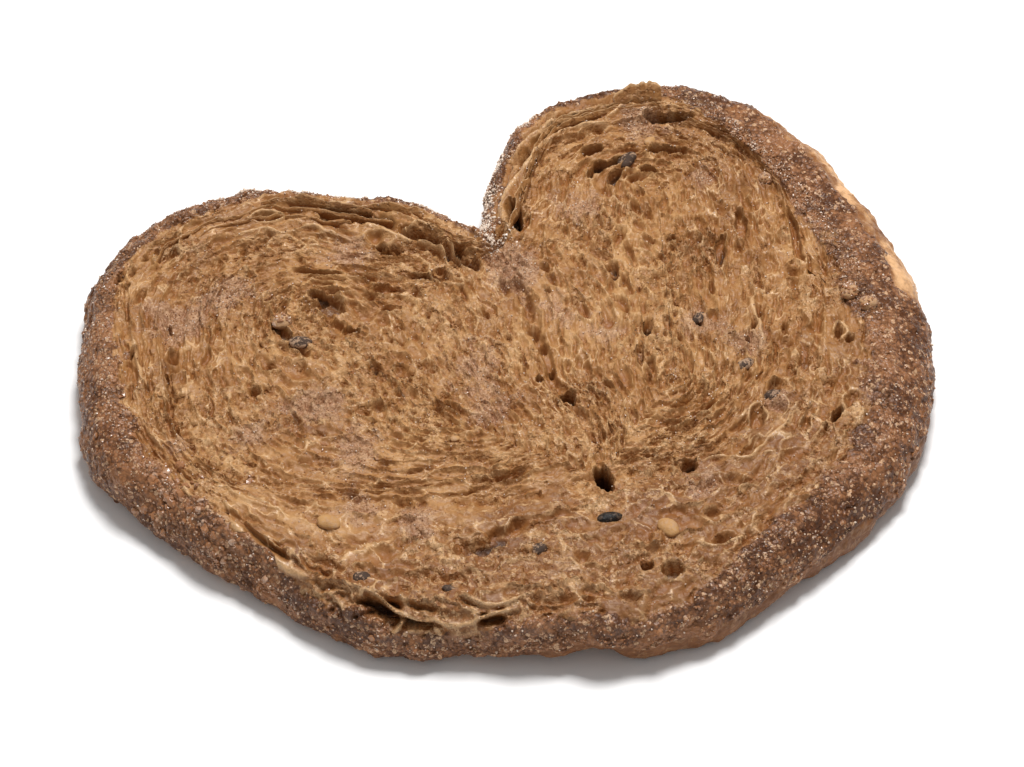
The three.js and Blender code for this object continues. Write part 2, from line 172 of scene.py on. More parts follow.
# Open pockets between the layers: x, y, length, width, depth and heading in degrees.
HOLLOWS = (
    (-35.3, -38.4, 6.8, 1.5, 2.9, -42), (-31.8, -42.0, 7.4, 0.8, 2.7, -30),
    (-20.9, -46.5, 4.4, 1.0, 2.6, -22), (-30.3, -34.9, 4.9, 1.9, 1.4, -22),
    (-23.2, -43.3, 3.8, 1.5, 1.6, -33), (-13, -47.1, 4.1, 2.2, 1.4, -12),
    (-24.6, -47.3, 4.8, 1.8, 1.3, -26), (-41.1, -35.5, 3.9, 2.1, 2.2, -50),
    (-25.4, -39.7, 1.4, 1.4, 2.4, -55), (-29.9, -41.2, 5.2, 1.1, 1.2, -34),
    (-5.4, -41.9, 2.4, 2.6, 1.5, -4), (3.9, -44, 3.4, 1.3, 1.4, -22),
    (2.5, -46.5, 1.8, 1.1, 4, -34), (6.1, -48.8, 3.3, 2.5, 2.6, 5),
    (-1.7, -51, 2.8, 1.3, 1.3, -22), (-7.2, -49, 2.4, 1.1, 1.3, -4),
    (14.5, -46.3, 3.7, 2.2, 2, -4), (15.5, -41, 2.9, 1.5, 1.7, 1), (39.7, -30.6, 2.7, 1.2, 4, 40),
    (37.2, -32.3, 1.6, 0.6, 2, 87), (21.6, -37.1, 7.6, 1.9, 1.3, -28),
    (46.8, -15.7, 2.2, 1.3, 2.2, 73), (47.6, -17.7, 1.7, 1, 2.2, 22),
    (54.6, -18.2, 1.2, 0.8, 1.5, -22), (47.1, 5.9, 2.2, 2.9, 1.5, -44),
    (40.2, 6.7, 3, 1.1, 1.6, 84), (45.9, -0.6, 2.7, 1.6, 1.5, -50), (53.7, -9.5, 1.4, 1.2, 2, -57),
    (33.8, -11.5, 0.9, 1.2, 3, -22), (31.8, -11.3, 2.8, 1.7, 1.4, -82),
    (52.9, 11, 5.2, 1.5, 2.2, -69), (57.8, 6.5, 2.5, 1.9, 1.6, 8), (53.9, 4, 1.7, 1.5, 1.4, -69),
    (11.4, 25.3, 5.6, 2.1, 4.2, 78), (27.1, 33.4, 3.8, 1.6, 2.6, 5),
    (28.6, 26.3, 2.3, 1.4, 1.6, 26), (3.4, -29.1, 5.1, 2.7, 8, 80), (4.8, -12, 2.8, 1.8, 4.5, -66),
    (2.1, -7.3, 1.3, 1, 3.5, -86), (4.5, -6.2, 1.3, 1, 2.5, -86), (4.8, 2.6, 2.7, 1.9, 1.8, -86),
    (5.1, -1.6, 2.2, 1.3, 1.6, -88), (-49.3, 35, 3.5, 1.3, 2.2, 50), (-46.5, 35.9, 2.7, 1, 2, 44),
    (-43.8, 37.7, 2.2, 0.9, 2, 27), (-41.4, 38.7, 1.7, 0.9, 1.8, 25),
    (-40.1, 37.3, 4.6, 1.8, 1.8, 11), (-48.2, 33.2, 1.3, 0.7, 1.8, 44),
    (-47.4, 30.3, 4, 1.6, 1.4, 44), (-51.9, 19.9, 2.5, 0.8, 3.5, 57),
    (-45.1, 23.2, 2.1, 0.6, 1.8, 83), (-48.8, 13.7, 3.2, 0.6, 1.6, 78),
    (-37.8, 6.4, 2.4, 1.4, 2, -63), (-14.6, 35.1, 3.6, 2.4, 2.4, -43),
    (-24.4, 38.4, 5.2, 1.9, 1.3, -27), (-21.1, 18.3, 4.6, 3.7, 2.6, -75),
    (-18.8, 17.4, 2.5, 1.7, 1.2, -75), (-30.7, 28.2, 3, 1.9, 1.1, -46),
    (-34, 32.4, 1.8, 2.5, 1, -22), (-10.1, 32.4, 4, 1.9, 5, -28),
    (-10.1, 28.8, 3.3, 3.3, 1.5, -22), (-3.7, 26.4, 6.1, 2.8, 2.8, -42),
    (-0.1, 19.8, 2.6, 1.3, 2.8, 88), (1.5, 18.3, 4.1, 2.1, 1.8, -76),
    (-0.5, 7.6, 2.9, 1.7, 2.4, -80), (-8.7, 15.3, 3.9, 1.8, 1.6, -61),
    (-14.9, 17.4, 2.7, 1.6, 2.2, -31), (-17.3, 14.2, 4.3, 2.8, 1.5, -33),
    (-3.4, 16.9, 4.6, 2.3, 1.3, -54), (-2.5, 22.3, 2.9, 1.5, 1.6, -56),
    (11.2, 12.8, 2.2, 1.3, 1.6, -56), (11.3, 10.3, 3.6, 1.1, 1.5, -88),
    (9.8, 8.3, 1.5, 0.9, 2.2, -76), (4.3, 12.3, 4.5, 0.9, 2.2, 76), (6.6, 7.6, 3.6, 2.3, 1.3, -56),
    (13.6, -28.7, 2.9, 3, 1.5, 2), (28.7, -26.6, 2.6, 4.7, 1.3, -22),
    (32.5, -26.2, 2.4, 2.8, 1.4, 19), (25.1, -31.8, 4.8, 1.3, 1.8, 33),
    (41.3, 35.3, 10.5, 1.6, 4.5, -25), (24.9, 40.3, 7.9, 1.7, 3.5, -3),
    (17.4, 36.6, 4.3, 1.7, 4, 42), (29.3, 39.5, 3.6, 1.4, 4.5, 7), (24.3, 11.1, 6, 1, 1.8, 87),
    (17.2, 1.8, 2.2, 1, 1.5, -89), (-22.3, 28.5, 2.6, 1, 1.2, -75),
    (-16.6, -3.4, 1.7, 1.5, 1.4, -50), (-22.3, -3.8, 1.8, 2, 2, -9),
    (-34.2, -1.2, 2.5, 1, 1.6, -74), (-3.8, -11.1, 2.5, 1.2, 1.1, -4),
    (-3.9, 11.4, 2.4, 1.8, 1.2, -64), (22.4, 18.1, 3.5, 1, 1.4, 87),
    (40.7, 14.6, 2.7, 2.4, 1.3, -50), (32.7, 7.7, 2.5, 1.7, 1.1, -77),
    (32.9, 23.4, 3.5, 2.4, 1, 7), (12, 5, 2.7, 1.8, 1.2, -71), (22.5, 2.9, 3, 1.4, 1.1, -76),
    (27.3, -1.2, 2.7, 1.5, 1.1, 15),
)

STEEP_DEPTH = 2.5  # mm; deeper pockets have steep sides
STEEP = 2.2
GENTLE = 1.15
# Depth at which the painted shade of pockets is darkest; the next but one line gives the same for
# grooves.
DARK_POCKET = 3.2  # mm; pockets this deep are as dark as can be
DARK_GROOVE = 3.6  # mm; the same of grooves
POCKET_LIP = 0.22  # mm; how far a pocket's edge stands up on its far side

# Long ridges (positive) and grooves (negative) along single layers: half width, height, and the
# points of the plan that each runs through.
STRANDS = (
    (0.55, 1.2, ((8.6, 18.1), (9.2, 23.5), (10.2, 28), (13.2, 30.9), (16.7, 33.9), (20.9, 37.3),
        (24.6, 38.8), (30.5, 37.6), (35.1, 35.9))),
    (0.3, 0.9, ((35.1, 35.9), (38.9, 37.7), (44.7, 35.6), (46.9, 32.1))),
    (0.35, 0.7, ((31, 36.9), (33.1, 39.1), (37.1, 39.8), (43.6, 37))),
    (1.1, -3.0, ((14.8, 34.9), (18, 37.1), (22.4, 39), (27.2, 39.6), (31.6, 40.2))),
    (0.8, -1.5, ((5.4, 16), (6.2, 8.5), (5.0, -0.5), (4.2, -8), (5.2, -15), (5.4, -21))),
    (0.5, -1.6, ((12.4, 29.4), (15.2, 33.2), (18.6, 36), (22.4, 37.2), (27.6, 36.9))),
    (0.8, -2.6, ((15.2, 38.2), (18.5, 40.6), (22.5, 42.2), (27, 43), (31, 43.4), (35, 42.6))),
    (0.3, 0.8, ((16, 37.5), (19.5, 39.8), (23, 40.8), (28, 41.3), (33, 41.2))),
    (1.3, -3.0, ((-16.4, 36.5), (-12.7, 34.6), (-9.5, 32.4), (-5.7, 29.5))),
    (1.6, -3.2, ((-6.7, 29.4), (-3.7, 26.4), (-0.9, 23.1), (0.5, 19.8), (2.3, 16.8))),
    (0.35, 0.9, ((-14.4, 36.6), (-12.4, 35.4), (-10.6, 31.7), (-6.8, 26.8), (-5.1, 24.5))),
    (0.3, 0.8, ((-6.8, 28.4), (-4.1, 28.8), (-2.7, 28.9), (-0.8, 27.1))),
    (0.35, 0.9, ((-6.1, 25.3), (-3.1, 23.7), (-1.7, 21.6), (-2.2, 19.1), (-1.9, 15.4),
        (-0.9, 14.6))),
    (0.3, 0.8, ((-0, 24.9), (-0.3, 21.9), (-0.1, 18.2), (0.8, 15.7))),
    (0.25, 0.6, ((-26.9, 39.4), (-24.8, 39.9), (-22.4, 38.7), (-21.7, 37.3), (-23.4, 36.8),
        (-25.6, 37.7), (-26.9, 39.4))),
    (0.3, 0.7, ((-25.9, 32.9), (-25, 34.1), (-23.1, 34), (-21.3, 32.9), (-20.6, 30.8),
        (-22.2, 30.1), (-24.2, 30.7), (-25.9, 32.9))),
    (0.3, 0.7, ((-21.3, 32.9), (-19.3, 32.3), (-18.6, 30.6), (-20.7, 30.6))),
    (0.35, 0.7, ((-30.2, 36.7), (-28, 36.5), (-25.5, 36.3), (-22.6, 34.3), (-18.6, 34),
        (-16.3, 31.5), (-13.8, 29.6))),
    (0.25, 0.6, ((-5, 18.9), (-2.5, 19.2), (-1.4, 16.6), (-1.7, 14.2), (-3.9, 15.1), (-5.3, 17.3),
        (-5, 18.9))),
    (0.3, 0.7, ((-6.7, 23.6), (-5.4, 22.2), (-4.6, 20), (-5.2, 18.5), (-5.1, 16.3))),
    (0.3, 0.7, ((-12.4, 28.1), (-11.3, 29.5), (-9.3, 29.6), (-7.6, 28), (-7.7, 26.2))),
    (0.35, -0.8, ((-53.4, 19), (-53.1, 16.5), (-52.8, 13.8), (-51.8, 11.7))),
    (0.3, -0.8, ((-50.1, 22.4), (-51.2, 19.2), (-52, 15.2), (-52.4, 12.3))),
    (0.5, 0.6, ((-50.9, 22.7), (-51.7, 19.3), (-52.3, 16.2), (-52.4, 12.8))),
    (0.35, -0.7, ((-48.6, 17.4), (-48.6, 13.8), (-49.1, 11.2), (-49.1, 8.5))),
    (0.6, 0.9, ((-51.4, -13.6), (-49.7, -16.7), (-48.2, -20.4), (-45.1, -26.3), (-41.8, -31))),
    (0.5, -1.1, ((-50, -13.5), (-48.5, -16.8), (-46.8, -21.5), (-44, -26.3))),
    (0.35, 0.7, ((-48.3, -10.1), (-47.4, -12.3), (-44.7, -15.7), (-41.8, -17.5))),
    (0.45, 0.7, ((-54.2, -7.3), (-53.4, -10.1), (-53, -12.3))),
    (0.28, 0.7, ((-37.8, -34.2), (-35.1, -36.7), (-33.6, -39.4), (-32, -41.2), (-28, -43.6),
        (-24.1, -45.3), (-19.2, -46.4), (-17.1, -47))),
    (0.35, 0.8, ((-24.8, -41.3), (-22.7, -43.7), (-20.6, -45), (-18.4, -45.5), (-14.9, -45.3),
        (-14, -45.3))),
    (0.3, 0.8, ((-39, -38.4), (-36.4, -40.8), (-34.1, -41.5), (-32.4, -41.2))),
    (0.35, 0.8, ((-41.2, -32.3), (-40, -35.2), (-39.2, -37.9))),
    (0.3, 0.7, ((-29.5, -43.4), (-27.6, -45.7), (-27.1, -47.5))),
    (0.5, 0.8, ((37.9, -2.2), (36.8, -7.7), (35.8, -12.3), (34.1, -15.3))),
    (0.25, 0.6, ((45.3, -16.4), (47.3, -14.1), (47.6, -16.4), (46, -17.7))),
    (0.25, 0.7, ((26.7, -27.9), (28.3, -24.9), (30.3, -24), (30.4, -26.6), (29.2, -28.7))),
    (0.25, 0.7, ((31.2, -24.8), (32.7, -24), (34, -25.3), (33.5, -27.5), (31.6, -28.2))),
    (0.35, 0.8, ((15.9, -31.3), (20.8, -31.1), (24.1, -33.7), (27.6, -31.8), (31.4, -29.8),
        (34.3, -27.3), (35.5, -25.3))),
    (0.25, 0.7, ((20.2, -39.6), (21.1, -38.3), (23, -38.7), (23.7, -39.6))),
    (0.35, 0.7, ((10.1, -44.9), (13, -47.1), (16.3, -47.1), (18.3, -46.8))),
)

# Where the layers end and the sugared crust starts: row of HEART, and how far across, from 0 at
# the coils' edge over 1 at the shoulder's top to 1 + half pi at the rim.
LAYER_ENDS = (
    (0.0, 1.2), (0.7, 1.3), (1.5, 1.6), (2.6, 1.5), (3.2, 1.0), (4.6, 1.05), (5.1, 1.15),
    (5.6, 0.92), (6.3, 0.8), (6.9, 0.64), (7.4, 0.82), (7.9, 1.1), (8.5, 1.27), (9.0, 1.52),
    (9.5, 1.95), (9.8, 1.8), (10.1, 1.82), (10.5, 2.0), (11.1, 1.93), (11.4, 1.7), (11.8, 1.56),
    (12.6, 1.66), (13.1, 1.5), (13.6, 1.38), (14.1, 1.25), (14.9, 1.08), (15.4, 1.0), (16.4, 1.03),
    (17.2, 0.97), (17.6, 0.83), (18.0, 0.69), (18.4, 0.54), (18.8, 0.38), (19.3, 0.17),
    (19.7, 0.04), (20.8, 0.04), (21.2, 0.4), (22.0, 0.7), (22.4, 1.2), (23.0, 1.55), (23.7, 1.7),
    (24.7, 1.65), (25.6, 1.55), (26.4, 1.5), (27.0, 1.2),
)

# Layers that stand up at the rim: first and last row of HEART, across, height, thickness.
STANDING = (
    (0.9, 1.9, 1.0, 1.3, 0.7), (1.7, 2.9, 0.97, 1.5, 0.6), (1.5, 4.6, 0.74, 0.7, 0.4),
    (2.0, 3.8, 0.55, 0.6, 0.35), (23.0, 24.4, 0.97, 1.2, 0.5), (24.3, 25.8, 0.95, 1.4, 0.5),
    (21.6, 24.5, 0.74, 0.8, 0.4), (22.8, 25.2, 0.86, 0.9, 0.4), (25.0, 26.5, 0.55, 1.1, 0.9),
    (22.45, 23.1, 1.04, 4.4, 2.4),
)

# Seeds: x, y, heading in degrees and size.
PALE_SEEDS = (
    (8.2, -41.6, -70, 1.05), (-36.9, -22.5, -40, 1.0), (36.2, 31.4, 15, 0.55),
    (-13.9, -13.8, 0, 0.4),
)
DARK_SEEDS = (
    (33.1, -22.8, 0, 1.0), (-35.8, -32.8, -30, 1.0), (-10.4, -38.0, 20, 0.9),
    (-25.1, -39.8, -40, 0.7), (-28.1, 12.6, -10, 1.1), (28.6, -5.4, 20, 0.9),
    (31.2, -16.4, 10, 0.9), (31.6, 29.3, 31, 1.1),
)
BLACK_SEEDS = ((1.0, -36.8, -10, 1.15),)
# Knobs of pale crumb and sugar: x, y, heading in degrees and size.
ROUND_LUMPS = (
    (-29.3, 17.4, 0, 1.0), (51.3, -9.6, 30, 0.95), (52.9, -12.8, -20, 1.0),
    (49.7, 18.0, -60, 0.75),
)

# Heaps of sugar lumps, and stretches of the far rim where loose sugar sparkles: x, y, radius.
SUGAR_HEAPS = (
    (-58.3, 7.5, 2.6), (-58.4, 11.8, 2.0), (-57.5, -3.3, 2.6), (-57.5, -7.8, 2.4),
    (-54.7, -6.5, 3.2), (-53.8, -14.2, 2.8), (-52.4, -18.5, 2.8), (-49.6, -26.3, 3.0),
    (-42.9, -32.6, 2.6), (-36.0, -40.0, 1.6), (46.3, -42.9, 1.6), (57.0, -24.0, 1.8),
    (-31.0, -8.5, 2.0), (-44.0, -10.0, 1.6),
)
SPARKLING_RIM = (
    (-10, 40.5, 3.5), (-17, 44.5, 3.5), (-24, 47.5, 3.0), (-31, 48.0, 2.5), (0.5, 34.0, 3.0),
    (7.0, 26.5, 3.0), (6.5, 20.5, 2.5), (9.5, 32.5, 2.5), (13.5, 39.0, 2.5), (21, 45.5, 2.5),
    (64, -8, 2.0), (62.5, -22.0, 2.5),
)


# ---- numbers over the plane and through space --------------------------------------------------


def ease(f: Array) -> Array:
    """Smooths a share from 0 to 1, and clips what lies outside."""
    f = np.clip(f, 0.0, 1.0)
    return f * f * (3.0 - 2.0 * f)


def mix(a: Array, b: Array, f: Array) -> Array:
    """Goes from a to b as f goes from 0 to 1."""
    return a + (b - a) * f


PLACE_FACTORS = (0x9E3779B1, 0x85EBCA77, 0xC2B2AE3D)
SEED_FACTOR = 0x27D4EB2F


def scramble(i: Array, j: Array, k: Array, seed: int) -> Array:
    """Repeatable random numbers from 0 to 1 for whole-number places.

    Args:
        i: First whole numbers.
        j: Second whole numbers.
        k: Third whole numbers.
        seed: Which set of random numbers to use.

    Returns:
        An array of random numbers, one for each place.
    """
    low_bits = 0xFFFFFFFF
    n = seed * SEED_FACTOR
    for place, factor in zip((i, j, k), PLACE_FACTORS):
        n = n + np.asarray(place, np.int64) * factor
    n = n & low_bits
    n = n ^ (n >> 15)
    n = (n * 0x2C1B3C6D) & low_bits
    n = n ^ (n >> 12)
    n = (n * 0x297A2D39) & low_bits
    n = n ^ (n >> 15)
    return n / 2.0**32


def swell(p: Array, size: float, seed: int) -> Array:
    """Smooth random swells through space, from -1 to 1.

    Args:
        p: Points in mm, with x, y and z last.
        size: Distance between swells in mm.
        seed: Which set of random numbers to use.

    Returns:
        One number for each point.
    """
    q = p / size
    base = np.floor(q)
    f = ease(q - base)
    base = base.astype(np.int64)
    total = np.zeros(p.shape[:-1])
    for corner in itertools.product((0, 1), repeat=3):
        weight = np.ones(p.shape[:-1])
        for axis, high in enumerate(corner):
            weight *= f[..., axis] if high else 1.0 - f[..., axis]
        total += weight * scramble(*(base[..., a] + corner[a] for a in range(3)), seed)
    return 2.0 * total - 1.0


def crumple(p: Array, size: float, seed: int, octaves: int = 3) -> Array:
    """Swells with ever smaller swells on them, from about -1 to 1.

    Args:
        p: Points in mm.
        size: Distance between the largest swells in mm.
        seed: Which set of random numbers to use.
        octaves: How many sizes of swell there are.

    Returns:
        One number for each point.
    """
    total = np.zeros(p.shape[:-1])
    for octave in range(octaves):
        total += swell(p, size * 0.5**octave, seed + octave) * 0.5**octave
    return total / (2.0 - 0.5 ** (octaves - 1))


@dataclass
class Cells:
    """What each point knows of the air cell that it lies in.

    Attributes:
        first: Distance to the nearest cell's middle in mm.
        second: Distance to the second nearest.
        chance: A random number of the nearest cell.
        other: Another one.
        slant: How far up the nearest cell's own slant the point lies, from about -0.5 to 0.5.
    """

    first: Array
    second: Array
    chance: Array
    other: Array
    slant: Array

    @classmethod
    def none(cls, shape: tuple[int, ...]) -> "Cells":
        """No cells found yet."""
        far = 99.0
        return cls(np.full(shape, far), np.full(shape, far), *np.zeros((3, *shape)))

    def offer(self, distance: Array, chance: Array, other: Array, slant: Array) -> None:
        """Takes one more cell into account.

        Args:
            distance: How far the cell's middle is from each point in mm.
            chance: The cell's random number.
            other: The cell's other random number.
            slant: How far up the cell's slant each point lies.
        """
        nearer = distance < self.first
        self.second = np.where(nearer, self.first, np.minimum(self.second, distance))
        self.first = np.where(nearer, distance, self.first)
        self.chance = np.where(nearer, chance, self.chance)
        self.other = np.where(nearer, other, self.other)
        self.slant = np.where(nearer, slant, self.slant)

    def nearness(self) -> Array:
        """How near the walls are: 0 in the middle of a cell, 1 on its walls."""
        return self.first / np.maximum(self.second, 0.001)

    def bowl(self, floor: float = 0.3, rim: float = 0.93) -> Array:
        """A rounded hollow's depth: 1 on the floor, 0 from the rim on."""
        return 1.0 - ease((self.nearness() - floor) / (rim - floor))


def nearest_grains(p: Array, size: float, seed: int) -> Cells:
    """The nearest of many grains spread through space.

    Args:
        p: Points in mm.
        size: Distance between grains in mm.
        seed: Which set of random numbers to use.

    Returns:
        How near the nearest two grains are to each point.
    """
    q = p / size
    base = np.floor(q).astype(np.int64)
    found = Cells.none(p.shape[:-1])
    for step in itertools.product((-1, 0, 1), repeat=3):
        cell = [base[..., a] + step[a] for a in range(3)]
        square = np.zeros(p.shape[:-1])
        slant = np.zeros(p.shape[:-1])
        for axis in range(3):
            away = cell[axis] + scramble(*cell, seed + axis) - q[..., axis]
            square += away**2
            slant += away * (2.0 * scramble(*cell, seed + 5 + axis) - 1.0)
        chances = (scramble(*cell, seed + k) for k in (3, 4))
        found.offer(np.sqrt(square) * size, *chances, slant)
    return found


def flat_grains(xy: Array, size: float, seed: int) -> Cells:
    """The nearest of many grains spread over the plan."""
    q = xy / size
    base = np.floor(q).astype(np.int64)
    found = Cells.none(xy.shape[:-1])
    for step in itertools.product((-1, 0, 1), repeat=2):
        i, j = (base[..., a] + step[a] for a in range(2))
        dx = i + scramble(i, j, 0, seed) - q[..., 0]
        dy = j + scramble(i, j, 1, seed) - q[..., 1]
        turn = 2.0 * math.pi * scramble(i, j, 2, seed)
        chances = (scramble(i, j, k, seed) for k in (3, 4))
        found.offer(np.hypot(dx, dy) * size, *chances, dx * np.cos(turn) + dy * np.sin(turn))
    return found


def in_space(xy: Array, z: Array) -> Array:
    """Adds a third coordinate to points or directions of the plan."""
    return np.concatenate([xy, z[..., None]], axis=-1)


def flat_points(xy: Array) -> Array:
    """Points of the plan as points in space at height 0."""
    return in_space(xy, np.zeros(xy.shape[:-1]))


def sway(p: Array, size: float, seed: int) -> Array:
    """Swells in both directions of the plan, x and y last."""
    return np.stack([swell(p, size, seed), swell(p, size, seed + 1)], -1)


# ---- curves and the plan -----------------------------------------------------------------------


class SmoothCurve:
    """A curve through points of the plan, without loops between them."""

    def __init__(self, points: tuple[tuple[float, float], ...]) -> None:
        """Keeps the points, with one more beyond each end."""
        p = np.array(points, float)
        self.count = len(p) - 1
        self.padded = np.vstack([2 * p[0] - p[1], p, 2 * p[-1] - p[-2]])

    def at(self, share: Array) -> Array:
        """Points of the curve.

        Args:
            share: Where along the curve, from 0 to 1.

        Returns:
            The points, x and y last.
        """
        place = np.clip(np.asarray(share, float), 0.0, 1.0) * self.count
        start = np.minimum(np.floor(place).astype(int), self.count - 1)
        w = (place - start)[..., None]
        a, b, c, d = (self.padded[start + k] for k in range(4))
        before, here, after = (
            np.sqrt(np.linalg.norm(end - begin, axis=-1, keepdims=True))
            for begin, end in ((a, b), (b, c), (c, d))
        )
        leave = ((b - a) / before - (c - a) / (before + here) + (c - b) / here) * here
        arrive = ((c - b) / here - (d - b) / (here + after) + (d - c) / after) * here
        square = 3.0 * (c - b) - 2.0 * leave - arrive
        cube = 2.0 * (b - c) + leave + arrive
        return b + w * (leave + w * (square + w * cube))

    def tangent(self, share: Array) -> Array:
        """Unit vectors along the curve."""
        step = 0.0001
        along = self.at(share + step) - self.at(share - step)
        return along / np.linalg.norm(along, axis=-1, keepdims=True)


class Plan:
    """The heart's outline, shoulder and coil edges, by row of HEART."""

    def __init__(self) -> None:
        """Lays the curves through the tables' points."""
        self.rim = SmoothCurve(tuple(row[:2] for row in HEART))
        self.coil = SmoothCurve(tuple(row[2:] for row in HEART))
        self.seam = SmoothCurve(SEAM)

    def rim_point(self, row: Array) -> Array:
        """Points of the rim."""
        return self.rim.at(row / LAST_ROW)

    def coil_point(self, row: Array) -> Array:
        """Points of the coils' edge."""
        return self.coil.at(row / LAST_ROW)

    def inward(self, row: Array) -> Array:
        """Unit vectors from the rim inwards, which run straight down the seam at the cleft."""
        along = self.rim.tangent(row / LAST_ROW)
        turn = ease(np.minimum(row, LAST_ROW - row) / 0.8)
        inwards = np.stack([mix(0.0, -along[..., 1], turn), mix(-1.0, along[..., 0], turn)], -1)
        return inwards / np.linalg.norm(inwards, axis=-1, keepdims=True)

    def shoulder_width(self, row: Array) -> Array:
        """How wide the sugared shoulder is."""
        rim = self.rim_point(row)
        rightness = ease((rim[..., 0] + 20.0) / 75.0)
        behind = ease((rim[..., 1] - 20.0) / 25.0)
        width = mix(SHOULDER_MIN, SHOULDER_MAX, rightness * (1.0 - 0.6 * behind))
        from_cleft = ease(np.minimum(row, LAST_ROW - row) / 2.5)
        return mix(SHOULDER_AT_CLEFT, width, from_cleft)

    def inset(self, row: Array, distance: Array | float) -> Array:
        """Points at a distance inwards from the rim."""
        return self.rim_point(row) + self.inward(row) * np.asarray(distance)[..., None]

    def arch_lift(self, row: Array) -> Array:
        """How far the rim lifts off the table."""
        return ARCH_LIFT * (1.0 - ease(np.abs(row - ARCH_PLACE) / ARCH_SPAN))

    def even_rows(self, first: float, last: float, count: int) -> Array:
        """Rows that cut a stretch of the rim into equal lengths.

        Args:
            first: The row where the stretch starts.
            last: The row where it ends.
            count: How many lengths there are.

        Returns:
            count + 1 rows.
        """
        fine = np.linspace(first, last, count * 8 + 1)
        steps = np.linalg.norm(np.diff(self.rim_point(fine), axis=0), axis=-1)
        lengths = np.concatenate([[0.0], np.cumsum(steps)])
        return np.interp(np.linspace(0.0, lengths[-1], count + 1), lengths, fine)


PLAN = Plan()


# ---- relief ------------------------------------------------------------------------------------


@dataclass
class Relief:
    """Heights over a smooth surface in mm, with the masks that go with them."""

    height: Array
    # How deep down in a cell, pit, pocket or groove each point lies, which the finish paints as
    # warmer pastry with painted shade.
    pore: Array
    # Where walls, lips and ridges stand up, which the finish paints pale with a painted highlight.
    crest: Array

    def part(self, rings: slice, step: int) -> "Relief":
        """Some of the rings, with every station or every other one."""
        return Relief(*(v[rings, ::step] for v in (self.height, self.pore, self.crest)))


def patch_sum(xy: Array, patches: tuple) -> Array:
    """Adds up soft round patches.

    Args:
        xy: Points of the plan.
        patches: Rows of x, y, radius and, if it isn't 1, strength.

    Returns:
        One number for each point.
    """
    total = np.zeros(xy.shape[:-1])
    for x, y, radius, *strength in patches:
        square = ((xy[..., 0] - x) ** 2 + (xy[..., 1] - y) ** 2) / radius**2
        total += (strength[0] if strength else 1.0) * np.exp(-square)
    return total


def openness(xy: Array) -> Array:
    """How far apart the layers lie, from 0 to 2."""
    rough = 0.55 + 0.4 * swell(flat_points(xy), 10.0, 11) + patch_sum(xy, OPEN_PATCHES)
    return np.clip(rough, 0.08, 2.0)


def crumbliness(xy: Array) -> Array:
    """Where the cut is crumbly and flaky (1) and where smooth (0)."""
    p = flat_points(xy)
    return ease(0.5 + 0.9 * swell(p, 6.5, 51) + 0.45 * swell(p, 2.4, 52))


def crumbs(xy: Array) -> Relief:
    """The fine flakes and pits that all cut layers share."""
    p = flat_points(xy)
    crumbly = crumbliness(xy)
    shifted = xy + 0.35 * sway(p, 0.9, 28)
    flakes = flat_grains(shifted, 1.0, 31)
    height = 0.3 * crumple(p, 4.6, 21) + 0.26 * crumple(p, 1.5, 22) * (0.5 + 0.5 * crumbly)
    knolls = 0.34 * (flakes.chance - 0.35) * flakes.bowl(0.1, 0.95)
    height += (0.35 + 0.65 * crumbly) * (0.2 * flakes.slant + knolls)
    grains = flat_grains(xy + 0.2 * swell(p, 0.7, 36)[..., None], 1.15, 35)
    pits = grains.bowl(0.2, 0.85) * ease((grains.chance - 0.45) / 0.1) * (0.35 + 0.65 * crumbly)
    height -= 0.32 * pits * (0.4 + grains.other)
    edges = ease((flakes.nearness() - 0.7) / 0.3) * ease((flakes.slant + 0.05) / 0.25)
    # The finish gives the pits painted shade and the raised flake edges the crests' painted
    # highlight.
    return Relief(height, 0.45 * pits, edges * (0.3 + 0.4 * crumbly))


def hollows(xy: Array) -> Relief:
    """The deep open pockets, with raised lips on their far sides; the finish paints their depth as
    painted shade and their lips with the crests' painted highlight.
    """
    sink = np.zeros(xy.shape[:-1])
    lips = np.zeros(xy.shape[:-1])
    p = flat_points(xy)
    ragged = 0.3 * swell(p, 1.6, 41) + 0.07 * swell(p, 0.6, 42)
    for x, y, length, width, depth, heading in HOLLOWS:
        turn = math.radians(heading)
        dx = xy[..., 0] - x
        dy = xy[..., 1] - y
        along = (dx * math.cos(turn) + dy * math.sin(turn)) / (0.56 * length)
        aside = (dy * math.cos(turn) - dx * math.sin(turn)) / (0.6 * width)
        reach = np.sqrt(along**2 + aside**2) + ragged
        steep = STEEP if depth > STEEP_DEPTH else GENTLE
        sink = np.maximum(sink, depth * ease(steep * (1.0 - reach)))
        ring = np.exp(-(((reach - 1.1) / 0.2) ** 2))
        lips = np.maximum(lips, ring * ease(0.5 + 0.8 * aside))
    height = POCKET_LIP * lips * (sink <= 0) - sink
    return Relief(height, np.clip(sink / DARK_POCKET, 0, 1), 0.6 * lips)


def distance_to(line: Array, points: Array) -> tuple[Array, Array]:
    """How far points are from a line.

    Args:
        line: The line's corners, x and y last.
        points: The points.

    Returns:
        The distances, and how far along the line the nearest places are, from 0 to 1.
    """
    start = line[:-1]
    step = np.diff(line, axis=0)
    away = points[:, None] - start[None]
    along = np.clip((away * step).sum(-1) / (step**2).sum(-1), 0.0, 1.0)
    distance = np.linalg.norm(away - along[..., None] * step, axis=-1)
    nearest = distance.argmin(axis=1)
    place = np.take_along_axis(along, nearest[:, None], axis=1)[:, 0]
    return distance.min(axis=1), (nearest + place) / len(start)


def strand_grooves(xy: Array) -> Relief:
    """The long grooves between single layers, with painted shade down in them."""
    sink = np.zeros(xy.shape[:-1])
    for width, rise, corners in STRANDS:
        if rise < 0.0:
            near, distance, strength = strand_measures(xy, width, corners)
            ragged = 0.35 * width * swell(flat_points(xy[near]), 1.3, 46)
            share = ease((1.2 * width - distance + ragged) / (0.8 * width))
            sink[near] = np.maximum(sink[near], -rise * strength * share)
    return Relief(-sink, np.clip(sink / DARK_GROOVE, 0.0, 1.0), np.zeros(sink.shape))


